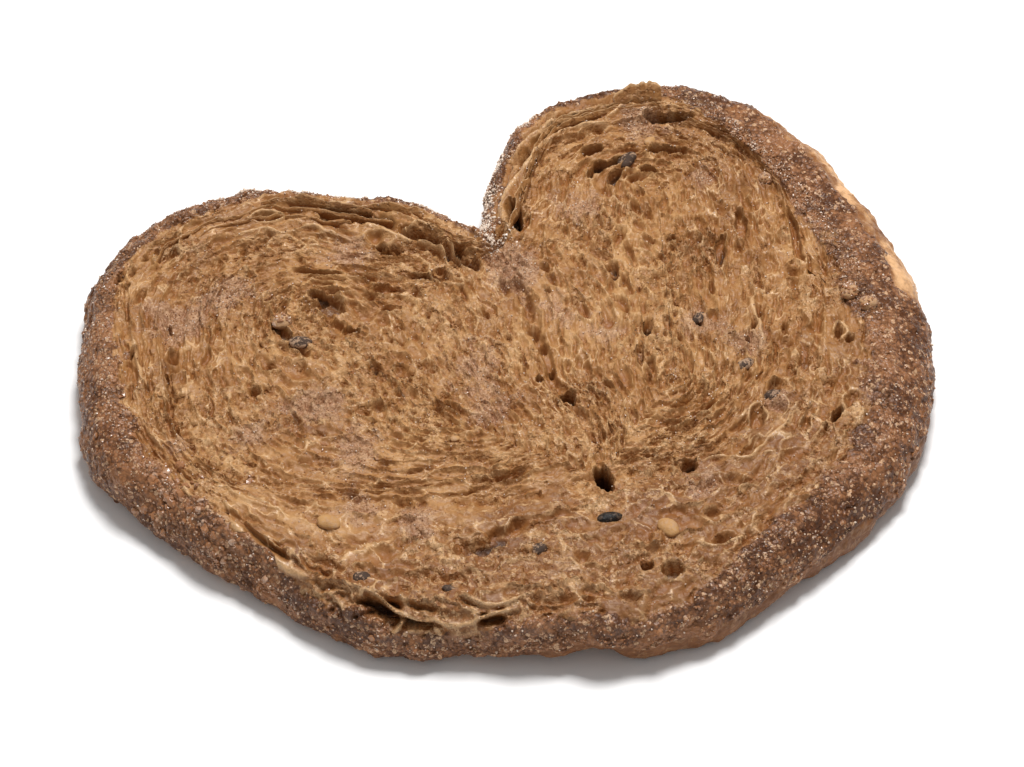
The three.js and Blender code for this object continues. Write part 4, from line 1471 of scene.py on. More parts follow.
@dataclass
class Crust:
    """The sugared shoulder, the lip that it runs out in and the edge of the underside.

    Attributes:
        stations: Points round the rim.
        shoulder_rings: Rings from the outer layers' edge to the rim.
        lip_rings: Rings from the rim down to the table.
        sole_rings: Rings on the underside.
        wall_rings: Rings back up inside.
    """

    stations: int = 1500
    shoulder_rings: int = 40
    lip_rings: int = 13
    sole_rings: int = 6
    wall_rings: int = 2

    def rows(self) -> Array:
        """Rows of HEART at the stations."""
        left = int(self.stations * LEFT_STATIONS / (LEFT_STATIONS + RIGHT_STATIONS))
        first = PLAN.even_rows(0, TIP_ROW, left)
        return np.concatenate([first, PLAN.even_rows(TIP_ROW, LAST_ROW, self.stations - left)[1:]])

    def smooth_surface(self, rows: Array) -> tuple[Array, Array, Array]:
        """The crust before it is roughened.

        Args:
            rows: Rows of HEART at the stations.

        Returns:
            Points by ring and station, which way they face, and how far across they lie.
        """
        lift = PLAN.arch_lift(rows)
        shares = np.linspace(0.0, 1.0, self.shoulder_rings + 1)[:, None]
        upper = mix(layers_width(rows)[None] - CRUST_OVERLAP, RIM_ACROSS, shares)
        points, normals = top_profile(rows, upper)
        out = -PLAN.inward(rows)
        lower_points = []
        lower_normals = []
        lower = np.linspace(0.0, math.pi / 2, self.lip_rings + 1)[1:]
        for turn in lower:
            xy = PLAN.inset(rows, FOOT_INSET * (1.0 - math.cos(turn)))
            lower_points.append(in_space(xy, lift + LIP_HEIGHT * (1.0 - math.sin(turn))))
            down = np.full(len(rows), -math.sin(turn))
            lower_normals.append(in_space(out * math.cos(turn), down))
        points = np.concatenate([points, np.stack(lower_points)])
        normals = np.concatenate([normals, np.stack(lower_normals)])
        lower_across = RIM_ACROSS + np.repeat(lower[:, None], len(rows), axis=1)
        return points, normals, np.concatenate([upper, lower_across])

    def sole(self, rows: Array) -> Array:
        """The edge of the underside, ring by ring."""
        rings = []
        for share in np.arange(1, self.sole_rings + 1) / self.sole_rings:
            xy = PLAN.inset(rows, mix(FOOT_INSET, SOLE_INSET, share))
            z = underside_height(xy) + PLAN.arch_lift(rows) * (1.0 - share)
            rings.append(in_space(xy, z))
        return np.stack(rings)

    def sheet(self) -> Sheet:
        """All rings with masks."""
        rows = self.rows()
        smooth, normal, across = self.smooth_surface(rows)
        sugar = sugar_cover(smooth, across, rows)
        settle = ease((1.0 + math.pi - across) / 0.5)
        tuck = 0.5 * (1.0 - ease((across - across[0]) / 0.09))
        surface = smooth + normal * (crust_roughness(smooth, sugar) * settle - tuck)[..., None]
        surface[..., 2] = np.maximum(surface[..., 2], FLOOR_GAP)
        under = self.sole(rows)
        shares = (np.arange(1, self.wall_rings + 1) / (self.wall_rings + 1))[:, None, None]
        wall = mix(under[-1][None], surface[0][None], shares)
        points = np.concatenate([surface, under, wall])
        blank = np.zeros((len(under) + len(wall), len(rows)))
        fade = np.linspace(UNDERSIDE[Mask.TOAST], INNER_WALL_TOAST, len(blank))[:, None]
        bare = np.zeros(across.shape)
        masks = {
            Mask.PORE: np.concatenate([bare, blank]),
            Mask.CREST: np.concatenate([bare, blank]),
            Mask.SUGAR: np.concatenate([sugar, blank]),
            Mask.TOAST: np.concatenate([self.toasting(surface, across, rows), blank + fade]),
            Mask.DUST: np.concatenate([dusting(surface[..., :2]), blank]),
        }
        return Sheet(points, masks, points.copy()).closed_across()

    def toasting(self, p: Array, across: Array, rows: Array) -> Array:
        """How dark the crust is, from 0 to 1: pale only where it rises behind the right lobe,
        partly as bare crust and partly as painted light on the side that faces the lamp.
        """
        patches = ease(0.75 + 0.9 * crumple(p, 7.0, 118))
        low = ease((across - 1.45 + 0.3 * swell(p, 3.0, 117)) / 0.4)
        # Painted light: the lower shoulder behind the right lobe is painted pale where it faces the
        # lamp, as well as being bare of sugar.
        pale = behind_right(rows)[None] * patches * low
        return mix(0.3 + 0.7 * toasting(p[..., :2]), 0.0, pale)

    def build(self) -> Piece:
        """The finished crust."""
        return self.sheet().build("sugared_crust", 75.0)


@dataclass
class StandingLayers:
    """Thin layers that stand up from the rest round the rim.

    Attributes:
        steps: Points along each layer.
        wall_points: Points round each layer's section.
        root: How far each reaches down into the rest, in mm.
        foot: Half its thickness from the middle down, as a share of the thickness.
        edge: The same at its top edge.
        lean: How far its top edge leans out, as a share of its height.
    """

    steps: int = 90
    wall_points: int = 20
    root: float = 1.6
    foot: float = 0.35
    edge: float = 0.12
    lean: float = 0.35

    def sheet(self, number: int) -> Sheet:
        """One standing layer as a closed tube of sections."""
        first, last, across, height, thickness = STANDING[number]
        f = np.linspace(0.0, 1.0, self.steps)
        rows = mix(first, last, f)
        foot = mix(PLAN.coil_point(rows), PLAN.inset(rows, PLAN.shoulder_width(rows)), across)
        p = flat_points(foot)
        waves = 0.6 * swell(p, 4.0, 121 + number) + 0.25 * swell(p, 1.6, 122 + number)
        foot = foot + PLAN.inward(rows) * waves[:, None]
        base = valley_height(foot) + WRAP_RISE + crumbs(foot).height
        ragged = 0.45 * swell(p, 3.0, 123) + 0.12 * swell(p, 0.9, 124)
        tall = height * (0.7 + ragged * min(1.0, 1.3 / height))
        tall = np.maximum(tall, 0.1) * (1.15 - 0.3 * f)
        tall = tall * np.sin(math.pi * mix(0.04, 0.96, f)) ** 0.4
        angles = np.linspace(0.0, 2.0 * math.pi, self.wall_points + 1)
        out = -PLAN.inward(rows)
        rings = []
        for angle in angles:
            side = math.cos(angle)
            up = math.sin(angle)
            thin = thickness * (self.foot if up < 0 else mix(self.foot, self.edge, up))
            shift = side * thin + self.lean * tall * max(up, 0.0) ** 1.5
            z = base + np.where(up > 0, up * tall, up * self.root)
            wave = 0.12 * swell(flat_points(foot + out * shift[:, None]), 1.2, 127)
            rings.append(in_space(foot + out * (shift + wave)[:, None], z))
        points = np.stack(rings, axis=1)
        ends = points.copy()
        ends[0] = points[0].mean(axis=0)
        ends[-1] = points[-1].mean(axis=0)
        return Sheet(ends, self.masks(ends, angles), ends.copy())

    def masks(self, points: Array, angles: Array) -> dict[Mask, Array]:
        """The finish's numbers: the crest colour with its painted highlight along the top edge, and
        painted shade at the foot.
        """
        up = np.repeat(np.sin(angles)[None], len(points), axis=0)
        return {
            # Painted shade at the foot, and the crests' painted highlight along the top edge.
            Mask.PORE: 0.5 * ease(-up + 0.2),
            Mask.CREST: ease((up - 0.75) / 0.25),
            Mask.DUST: 0.5 * dusting(points[..., :2]),
            Mask.TOAST: 0.35 + 0.6 * toasting(points[..., :2]),
            Mask.FLAKES: 0.4 + blank_like(points),
        }

    def build(self) -> Piece:
        """All standing layers as one piece."""
        made = [self.sheet(n).build(f"standing_{n}") for n in range(len(STANDING))]
        return joined(made, "standing_layers")


def joined(pieces: list[Piece], name: str) -> Piece:
    """Joins pieces into one.

    Args:
        pieces: The pieces.
        name: The name of the piece that they become.

    Returns:
        That piece.
    """
    bpy.ops.object.select_all(action="DESELECT")
    for piece in pieces:
        piece.select_set(True)
    bpy.context.view_layer.objects.active = pieces[0]
    bpy.ops.object.join()
    whole = bpy.context.object
    whole.name = name
    whole.data.name = name
    return whole


def point_values(piece: Piece, mask: Mask) -> Array:
    """A mask's value at each of a piece's points, or 0 if it doesn't carry it."""
    attribute = piece.data.attributes.get(mask.value)
    if attribute is None:
        return np.zeros(len(piece.data.vertices))
    return read(attribute.data, "value", 1)[:, 0]


@dataclass
class Ground:
    """The surface that seeds and grains lie on.

    Attributes:
        pieces: The pieces that it is made of.
    """

    pieces: list[Piece]

    def __post_init__(self) -> None:
        """Gathers the points and normals of all pieces."""
        meshes = [piece.data for piece in self.pieces]
        self.places = np.concatenate([read(mesh.vertices, "co", 3) / MM for mesh in meshes])
        self.normals = np.concatenate([read(mesh.vertex_normals, "vector", 3) for mesh in meshes])
        self.sugar = np.concatenate([point_values(piece, Mask.SUGAR) for piece in self.pieces])

    def height(self, x: float, y: float, reach: float) -> float:
        """How high the surface stands round a place of the plan, in mm."""
        spot = np.array([x, y]) - PLAN_MIDDLE
        near = np.linalg.norm(self.places[:, :2] - spot, axis=1) < reach
        high = self.places[near, 2]
        return float(np.percentile(high[high > LIP_HEIGHT], 70))


@dataclass
class Seeds:
    """Baked-on seeds of one kind.

    Attributes:
        name: The piece's name.
        places: Plan places, headings and sizes.
        size: Length, width and height in mm.
        sink: How deep each lies in the pastry, as a share of its height.
        pointed: How far it narrows to one end.
        knobbly: How uneven it is.
        seed: Which set of random numbers to use.
    """

    name: str
    places: tuple[tuple[float, float, float, float], ...]
    size: tuple[float, float, float]
    sink: float
    pointed: float
    knobbly: float
    seed: int

    def model(self) -> Piece:
        """One seed: a ball turned and drawn out to the seed's size."""
        bpy.ops.mesh.primitive_uv_sphere_add(segments=36, ring_count=20, radius=0.5 * MM)
        seed = bpy.context.object
        edit_all(seed)
        bpy.ops.transform.rotate(value=math.pi / 2, orient_axis="Y", center_override=(0, 0, 0))
        bpy.ops.transform.resize(value=self.size, center_override=(0, 0, 0))
        bpy.ops.object.mode_set(mode="OBJECT")
        return seed

    def build(self, ground: Ground) -> Piece:
        """All seeds of this kind, lying on the ground."""
        model = self.model()
        made = []
        for number, (x, y, heading, size) in enumerate(self.places):
            copy = model.copy()
            copy.data = model.data.copy()
            bpy.context.collection.objects.link(copy)
            shape_seed(copy, self.pointed, self.knobbly, self.size[0], self.seed + number)
            copy.data.transform(Matrix.Scale(size, 4))
            z = ground.height(x, y, 0.45 * self.size[1]) + (0.5 - self.sink) * self.size[2] * size
            spot = (np.array([x, y]) - PLAN_MIDDLE) * MM
            tilt = Matrix.Rotation(0.3 * (scramble(number, 1, 0, self.seed) - 0.5), 4, "X")
            turn = Matrix.Rotation(math.radians(heading), 4, "Z")
            copy.data.transform(Matrix.Translation((*spot, z * MM)) @ turn @ tilt)
            made.append(copy)
        bpy.data.objects.remove(model)
        whole = joined(made, self.name)
        bpy.ops.object.shade_smooth()
        return whole


def shape_seed(piece: Piece, pointed: float, knobbly: float, length: float, seed: int) -> None:
    """Narrows a seed to one end and makes it uneven."""
    p = read(piece.data.vertices, "co", 3) / MM
    taper = 1.0 - pointed * (p[:, :1] / length + 0.5)
    p[:, 1:] *= taper
    p *= 1.0 + knobbly * crumple(p + 10.0 * seed, 1.3, 131)[:, None]
    piece.data.vertices.foreach_set("co", (p * MM).ravel())


@dataclass
class Grains:
    """Sugar grains and lumps, scattered over the ground.

    Attributes:
        name: The piece's name.
        count: How many there are.
        sizes: Smallest and largest size in mm.
        seed: Which set of random numbers to use.
        sink: How deep they lie, as a share of their size.
        tones: Their lightest and darkest tone, from 0 (clear) to 1 (caramel).
        facets: How finely each is cut: 1 for 20 faces, 2 for 80.
    """

    name: str
    count: int
    sizes: tuple[float, float]
    seed: int
    sink: float
    tones: tuple[float, float] = (0.3, 1.0)
    facets: int = 1

    def model(self) -> tuple[Piece, Array, Array]:
        """One grain: a ball drawn out and flattened, with its corners and faces as arrays."""
        bpy.ops.mesh.primitive_ico_sphere_add(subdivisions=self.facets, radius=0.5)
        model = bpy.context.object
        edit_all(model)
        bpy.ops.transform.resize(value=(1.25, 1.0, 0.85), center_override=(0, 0, 0))
        bpy.ops.object.mode_set(mode="OBJECT")
        faces = np.array([face.vertices[:] for face in model.data.polygons])
        return model, read(model.data.vertices, "co", 3), faces

    def build(self, ground: Ground, liking: Array) -> Piece:
        """Scatters the grains.

        Args:
            ground: What they lie on.
            liking: How likely a grain is to lie on each of the ground's points.

        Returns:
            All grains as one piece.
        """
        generator = np.random.default_rng(self.seed)
        chosen = generator.choice(len(liking), self.count, p=liking / liking.sum())
        return self.lay(ground.places[chosen], ground.normals[chosen], generator)

    def lay(self, places: Array, normals: Array, generator: np.random.Generator) -> Piece:
        """Lays one grain on each place.

        Args:
            places: Points of the finished thing in mm.
            normals: Which way the surface faces there.
            generator: Where the random sizes, turns and tones come from.

        Returns:
            All grains as one piece.
        """
        model, corners, faces = self.model()
        count = len(places)
        low, high = self.sizes
        size = low * (high / low) ** (generator.random(count) ** 1.7)
        turns = random_turns(generator, count)
        wobble = 1.0 + 0.5 * (generator.random((count, len(corners), 1)) - 0.5)
        local = np.einsum("nij,kj->nki", turns, corners) * wobble
        centre = places + normals * ((0.5 - self.sink) * size)[:, None]
        points = centre[:, None] + local * size[:, None, None]
        points[..., 2] = np.maximum(points[..., 2], FLOOR_GAP)
        index = faces[None] + (np.arange(count) * len(corners))[:, None, None]
        mesh = bpy.data.meshes.new(self.name)
        mesh.from_pydata((points * MM).reshape(-1, 3), [], index.reshape(-1, 3).tolist())
        mesh.update()
        model.data = mesh
        model.name = self.name
        tone = mix(*self.tones, generator.random(count))
        add_values(mesh, Mask.TOAST.value, "FLOAT", np.repeat(tone, len(corners)))
        return model


def random_turns(generator: np.random.Generator, count: int) -> Array:
    """Random rotations as 3 by 3 matrices."""
    q = generator.normal(size=(count, 4))
    w, x, y, z = (q / np.linalg.norm(q, axis=1, keepdims=True)).T
    rows = (
        (1 - 2 * (y * y + z * z), 2 * (x * y - z * w), 2 * (x * z + y * w)),
        (2 * (x * y + z * w), 1 - 2 * (x * x + z * z), 2 * (y * z - x * w)),
        (2 * (x * z - y * w), 2 * (y * z + x * w), 1 - 2 * (x * x + y * y)),
    )
    return np.stack([np.stack(row, -1) for row in rows], 1)


# ---- finishes ----------------------------------------------------------------------------------


def paint(red: int, green: int, blue: int) -> Colour:
    """A colour as seen on a screen, from 0 to 255, as the light that it gives back."""
    shares = (c / 255.0 for c in (red, green, blue))
    lit = (s / 12.92 if s <= 0.04045 else ((s + 0.055) / 1.055) ** 2.4 for s in shares)
    return (*lit, 1.0)


# Scales of noise and of flakes, in spots to a metre.
CLOUDS = 130.0
BAKE_PATCHES = 170.0
BLOTCHES = 420.0
FLAKE_LINES = 760.0
COVER_EDGE = 800.0
MOTTLES = 900.0
LAYER_STREAKS = 1100.0
CRUMBS = 1500.0
CRYSTALS = 1700.0
SEED_DUST = 2200.0
SPECKLES = 2400.0
GRIT = 3200.0
DUST_TONES = 3300.0
FINEST = 5200.0


class Nodes:
    """Adds nodes to a tree and links them."""

    def __init__(self, tree: Tree) -> None:
        """Works on one tree."""
        self.tree = tree

    def add(self, kind: str, settings: dict | None = None, **inputs: object) -> bpy.types.Node:
        """A new node.

        Args:
            kind: Blender's name of the node's type.
            settings: Its properties by name.
            **inputs: Its inputs by name, with _ for a space: a number, a colour or a socket.

        Returns:
            The node.
        """
        node = self.tree.nodes.new(kind)
        for name, value in (settings or {}).items():
            setattr(node, name, value)
        for name, value in inputs.items():
            self.feed(node, name.replace("_", " "), value)
        return node

    def put(self, inputs: object, values: tuple) -> None:
        """Links each input to a socket, or sets it to a value."""
        for socket, value in zip(inputs, values):
            if isinstance(value, bpy.types.NodeSocket):
                self.tree.links.new(value, socket)
            else:
                socket.default_value = value

    def feed(self, node: bpy.types.Node, name: str, value: object) -> None:
        """Links one input of a node, found by its name, or sets it."""
        self.put((node.inputs[name],), (value,))

    def math(self, operation: str, a: object, b: object = 0.0, c: object = 0.0) -> object:
        """The result of one sum."""
        node = self.add("ShaderNodeMath", {"operation": operation})
        self.put(node.inputs, (a, b, c))
        return node.outputs[0]

    def times(self, a: object, b: object) -> object:
        """One value times another."""
        return self.math("MULTIPLY", a, b)

    def scaled(self, value: object, factor: object, plus: object) -> object:
        """A value times a factor, plus another value."""
        return self.math("MULTIPLY_ADD", value, factor, plus)

    def vector(self, operation: str, a: object, b: object) -> object:
        """The result of one sum of vectors."""
        node = self.add("ShaderNodeVectorMath", {"operation": operation})
        self.put(node.inputs, (a, b))
        return node.outputs["Value" if operation == "DOT_PRODUCT" else "Vector"]

    def plus(self, a: object, b: object) -> object:
        """The sum of two values."""
        return self.math("ADD", a, b)

    def group(self, tree: Tree, **inputs: object) -> bpy.types.Node:
        """A node group with its inputs."""
        return self.add("ShaderNodeGroup", {"node_tree": tree}, **inputs)

    def blend(self, share: object, first: object, second: object, kind: str = "MIX") -> object:
        """A colour between two others."""
        node = self.add("ShaderNodeMix", {"data_type": "RGBA", "blend_type": kind})
        factor, first_colour, second_colour = (node.inputs[n] for n in (0, 6, 7))
        self.put((factor, first_colour, second_colour), (share, first, second))
        return node.outputs[2]

    def coat(
        self,
        shader: bpy.types.Node,
        colour: object,
        roughness: object,
        gloss: float,
        normal: object | None = None,
    ) -> None:
        """Gives the main shader its colour, roughness, gloss and, if there is one, its bump."""
        self.feed(shader, "Base Color", colour)
        self.feed(shader, "Roughness", roughness)
        self.feed(shader, "Specular IOR Level", gloss)
        if normal is not None:
            self.feed(shader, "Normal", normal)

    def mask(self, mask: Mask) -> object:
        """A mask that the surface carries."""
        return self.add("ShaderNodeAttribute", {"attribute_name": mask.value}).outputs["Fac"]

    def place(self) -> object:
        """The place on the surface, in the thing's own frame."""
        return self.add("ShaderNodeTexCoord").outputs["Object"]

    def noise(self, scale: float, detail: float = 4.0, roughness: float = 0.6) -> object:
        """Noise from 0 to 1 by place."""
        place = self.place()
        spots = {"Scale": scale, "Detail": detail, "Roughness": roughness}
        return self.add("ShaderNodeTexNoise", Vector=place, **spots).outputs["Fac"]

    def ramp(self, value: object, low: float, high: float) -> object:
        """A value stretched so that low becomes 0 and high 1."""
        smooth = {"interpolation_type": "SMOOTHSTEP"}
        node = self.add("ShaderNodeMapRange", smooth, Value=value, From_Min=low, From_Max=high)
        return node.outputs["Result"]


def colours(*names: str) -> dict[str, str]:
    """Colour sockets with these names."""
    return dict.fromkeys(names, COLOUR)


def new_group(name: str, inputs: dict[str, str], outputs: dict[str, str]) -> tuple:
    """A node group with named inputs and outputs.

    Args:
        name: The group's name.
        inputs: Each input's kind of socket by name.
        outputs: Each output's kind of socket by name.

    Returns:
        The group, its nodes, its inner inputs and its output node.
    """
    group = bpy.data.node_groups.new(name, "ShaderNodeTree")
    for label, kind in inputs.items():
        group.interface.new_socket(label, in_out="INPUT", socket_type=kind)
    for label, kind in outputs.items():
        group.interface.new_socket(label, in_out="OUTPUT", socket_type=kind)
    nodes = Nodes(group)
    return group, nodes, nodes.add("NodeGroupInput").outputs, nodes.add("NodeGroupOutput")


def browning_group() -> Tree:
    """Uneven browning: pale, golden and brown patches, darker where it is toasted."""
    kinds = {**colours("Pale", "Golden", "Brown"), "Toast": NUMBER, "Streaks": NUMBER}
    group, n, given, result = new_group("Uneven browning", kinds, colours("Color"))
    broad = n.noise(BAKE_PATCHES, 3.0)
    fine = n.noise(MOTTLES, 4.0, 0.6)
    dark = n.scaled(given["Toast"], 0.7, n.scaled(broad, 0.5, -0.22))
    dark = n.plus(dark, n.scaled(fine, 0.6, -0.3))
    dark = n.plus(dark, n.scaled(given["Streaks"], 0.5, -0.25))
    golden = n.blend(n.ramp(dark, 0.0, 0.45), given["Pale"], given["Golden"])
    n.feed(result, "Color", n.blend(n.ramp(dark, 0.35, 0.9), golden, given["Brown"]))
    return group


def flake_group() -> Tree:
    """Soft flakes: short edges and shallow pits along the layers, which the finish paints with a
    painted highlight and painted shade.
    """
    made = {"Edge": NUMBER, "Pit": NUMBER, "Grain": NUMBER}
    group, n, given, result = new_group("Soft flakes", {"Along": VECTOR}, made)
    drawn = n.vector("MULTIPLY", given["Along"], (0.5, 0.5, 1.0))
    lines = {"Scale": FLAKE_LINES, "Detail": 1.5, "Roughness": 0.5}
    contour = n.add("ShaderNodeTexNoise", Vector=drawn, **lines)
    off = n.math("ABSOLUTE", n.math("SUBTRACT", contour.outputs["Fac"], 0.5))
    line = n.math("MAXIMUM", n.scaled(off, -9.0, 1.0), 0.0)
    pieces = n.ramp(n.noise(BLOTCHES, 2.0), 0.42, 0.62)
    n.feed(result, "Edge", n.times(line, pieces))
    n.feed(result, "Pit", n.ramp(n.noise(MOTTLES, 2.0, 0.55), 0.54, 0.72))
    n.feed(result, "Grain", n.noise(GRIT, 2.0, 0.7))
    return group


def facet_group() -> Tree:
    """Small flakes or crystals, each with a slant and a random number of its own."""
    kinds = {"Vector": VECTOR, "Scale": NUMBER}
    made = {"Slant": NUMBER, "Chance": NUMBER, "Edge": NUMBER}
    group, n, given, result = new_group("Facets", kinds, made)
    cells = n.add("ShaderNodeTexVoronoi", Vector=given["Vector"], Scale=given["Scale"])
    away = n.vector("SUBTRACT", given["Vector"], cells.outputs["Position"])
    lean = n.vector("SUBTRACT", cells.outputs["Color"], (0.5, 0.5, 0.5))
    slope = n.vector("DOT_PRODUCT", away, lean)
    n.feed(result, "Slant", n.times(slope, given["Scale"]))
    parts = n.add("ShaderNodeSeparateColor", Color=cells.outputs["Color"])
    n.feed(result, "Chance", parts.outputs[0])
    n.feed(result, "Edge", cells.outputs["Distance"])
    return group


def pore_group() -> Tree:
    """Warmer colours and painted shade down in the pores, and pale thin crests with a painted
    highlight.
    """
    kinds = {**colours("Color", "Hollow", "Deep", "Crest color"), "Pore": NUMBER, "Crest": NUMBER}
    group, n, given, result = new_group("Pores and crests", kinds, colours("Color"))
    hollow = n.blend(n.ramp(given["Pore"], 0.0, 0.65), given["Color"], given["Hollow"])
    lifted = n.blend(given["Crest"], hollow, given["Crest color"])
    n.feed(result, "Color", n.blend(n.ramp(given["Pore"], 0.6, 1.0), lifted, given["Deep"]))
    return group


def dust_group() -> Tree:
    """Fine sugar dust that lies in speckles, some pale and some shaded."""
    kinds = {**colours("Color", "Light", "Shade"), "Dust": NUMBER}
    made = {"Color": COLOUR, "Cover": NUMBER}
    group, n, given, result = new_group("Sugar dust", kinds, made)
    speckle = n.noise(SPECKLES, 3.0, 0.75)
    wanted = n.scaled(given["Dust"], 0.45, 0.2)
    cover = n.times(n.ramp(n.math("SUBTRACT", wanted, speckle), -0.1, 0.1), 0.5)
    tone = n.ramp(n.noise(DUST_TONES, 2.0), 0.4, 0.6)
    speckled = n.blend(tone, given["Shade"], given["Light"])
    n.feed(result, "Color", n.blend(cover, given["Color"], speckled))
    n.feed(result, "Cover", cover)
    return group


def crumb_group() -> Tree:
    """The finest unevenness, as a height."""
    group, n, given, result = new_group("Fine crumb", {"Coarse": NUMBER}, {"Height": NUMBER})
    coarse = n.times(n.noise(CRUMBS, 4.0, 0.7), given["Coarse"])
    n.feed(result, "Height", n.plus(coarse, n.times(n.noise(FINEST, 2.0), 0.25)))
    return group


def crystal_group(facets: Tree) -> Tree:
    """Baked sugar: crystals of random tone, darker towards their edges as painted shade between
    them, with painted glints here and there.
    """
    kinds = {**colours("Color", "Crystal", "Crevice", "Sparkle"), "Sugar": NUMBER}
    made = {"Color": COLOUR, "Cover": NUMBER, "Height": NUMBER}
    group, n, given, result = new_group("Baked sugar", kinds, made)
    grain = n.group(facets, Vector=n.place(), Scale=CRYSTALS)
    patches = n.scaled(n.noise(CLOUDS, 2.0), 1.6, -0.8)
    tone = n.scaled(n.noise(BLOTCHES, 6.0, 0.75), 2.0, -0.55)
    tone = n.plus(tone, patches)
    # Darker towards each crystal's edge: painted shade between the crystals.
    tone = n.scaled(grain.outputs["Edge"], -0.55, tone)
    tone = n.scaled(grain.outputs["Chance"], 0.35, tone)
    crystals = n.blend(n.ramp(tone, 0.0, 0.75), given["Crevice"], given["Crystal"])
    # Painted glints: a few crystals painted near white, as if they caught the lamp.
    bright = n.ramp(n.plus(grain.outputs["Chance"], n.noise(GRIT, 2.0)), 1.35, 1.5)
    crystals = n.blend(n.times(bright, 0.75), crystals, given["Sparkle"])
    edge = n.plus(given["Sugar"], n.scaled(n.noise(COVER_EDGE), 0.9, -0.45))
    cover = n.ramp(edge, 0.15, 0.5)
    n.feed(result, "Color", n.blend(n.times(cover, 0.92), given["Color"], crystals))
    n.feed(result, "Cover", cover)
    height = n.scaled(grain.outputs["Slant"], 1.3, n.times(grain.outputs["Edge"], -0.6))
    n.feed(result, "Height", n.times(height, cover))
    return group


class Groups:
    """The node groups that several finishes share."""

    def __init__(self) -> None:
        """Makes each group once."""
        self.browning = browning_group()
        self.flakes = flake_group()
        self.facets = facet_group()
        self.pores = pore_group()
        self.dust = dust_group()
        self.crumb = crumb_group()
        self.crystals = crystal_group(self.facets)


def new_finish(name: str) -> tuple[Material, Nodes, bpy.types.Node]:
    """A new material with its nodes and its main shader."""
    material = bpy.data.materials.new(name)
    material.use_nodes = True
    material.node_tree.nodes.clear()
    nodes = Nodes(material.node_tree)
    shader = nodes.add("ShaderNodeBsdfPrincipled")
    nodes.add("ShaderNodeOutputMaterial", Surface=shader.outputs["BSDF"])
    return material, nodes, shader


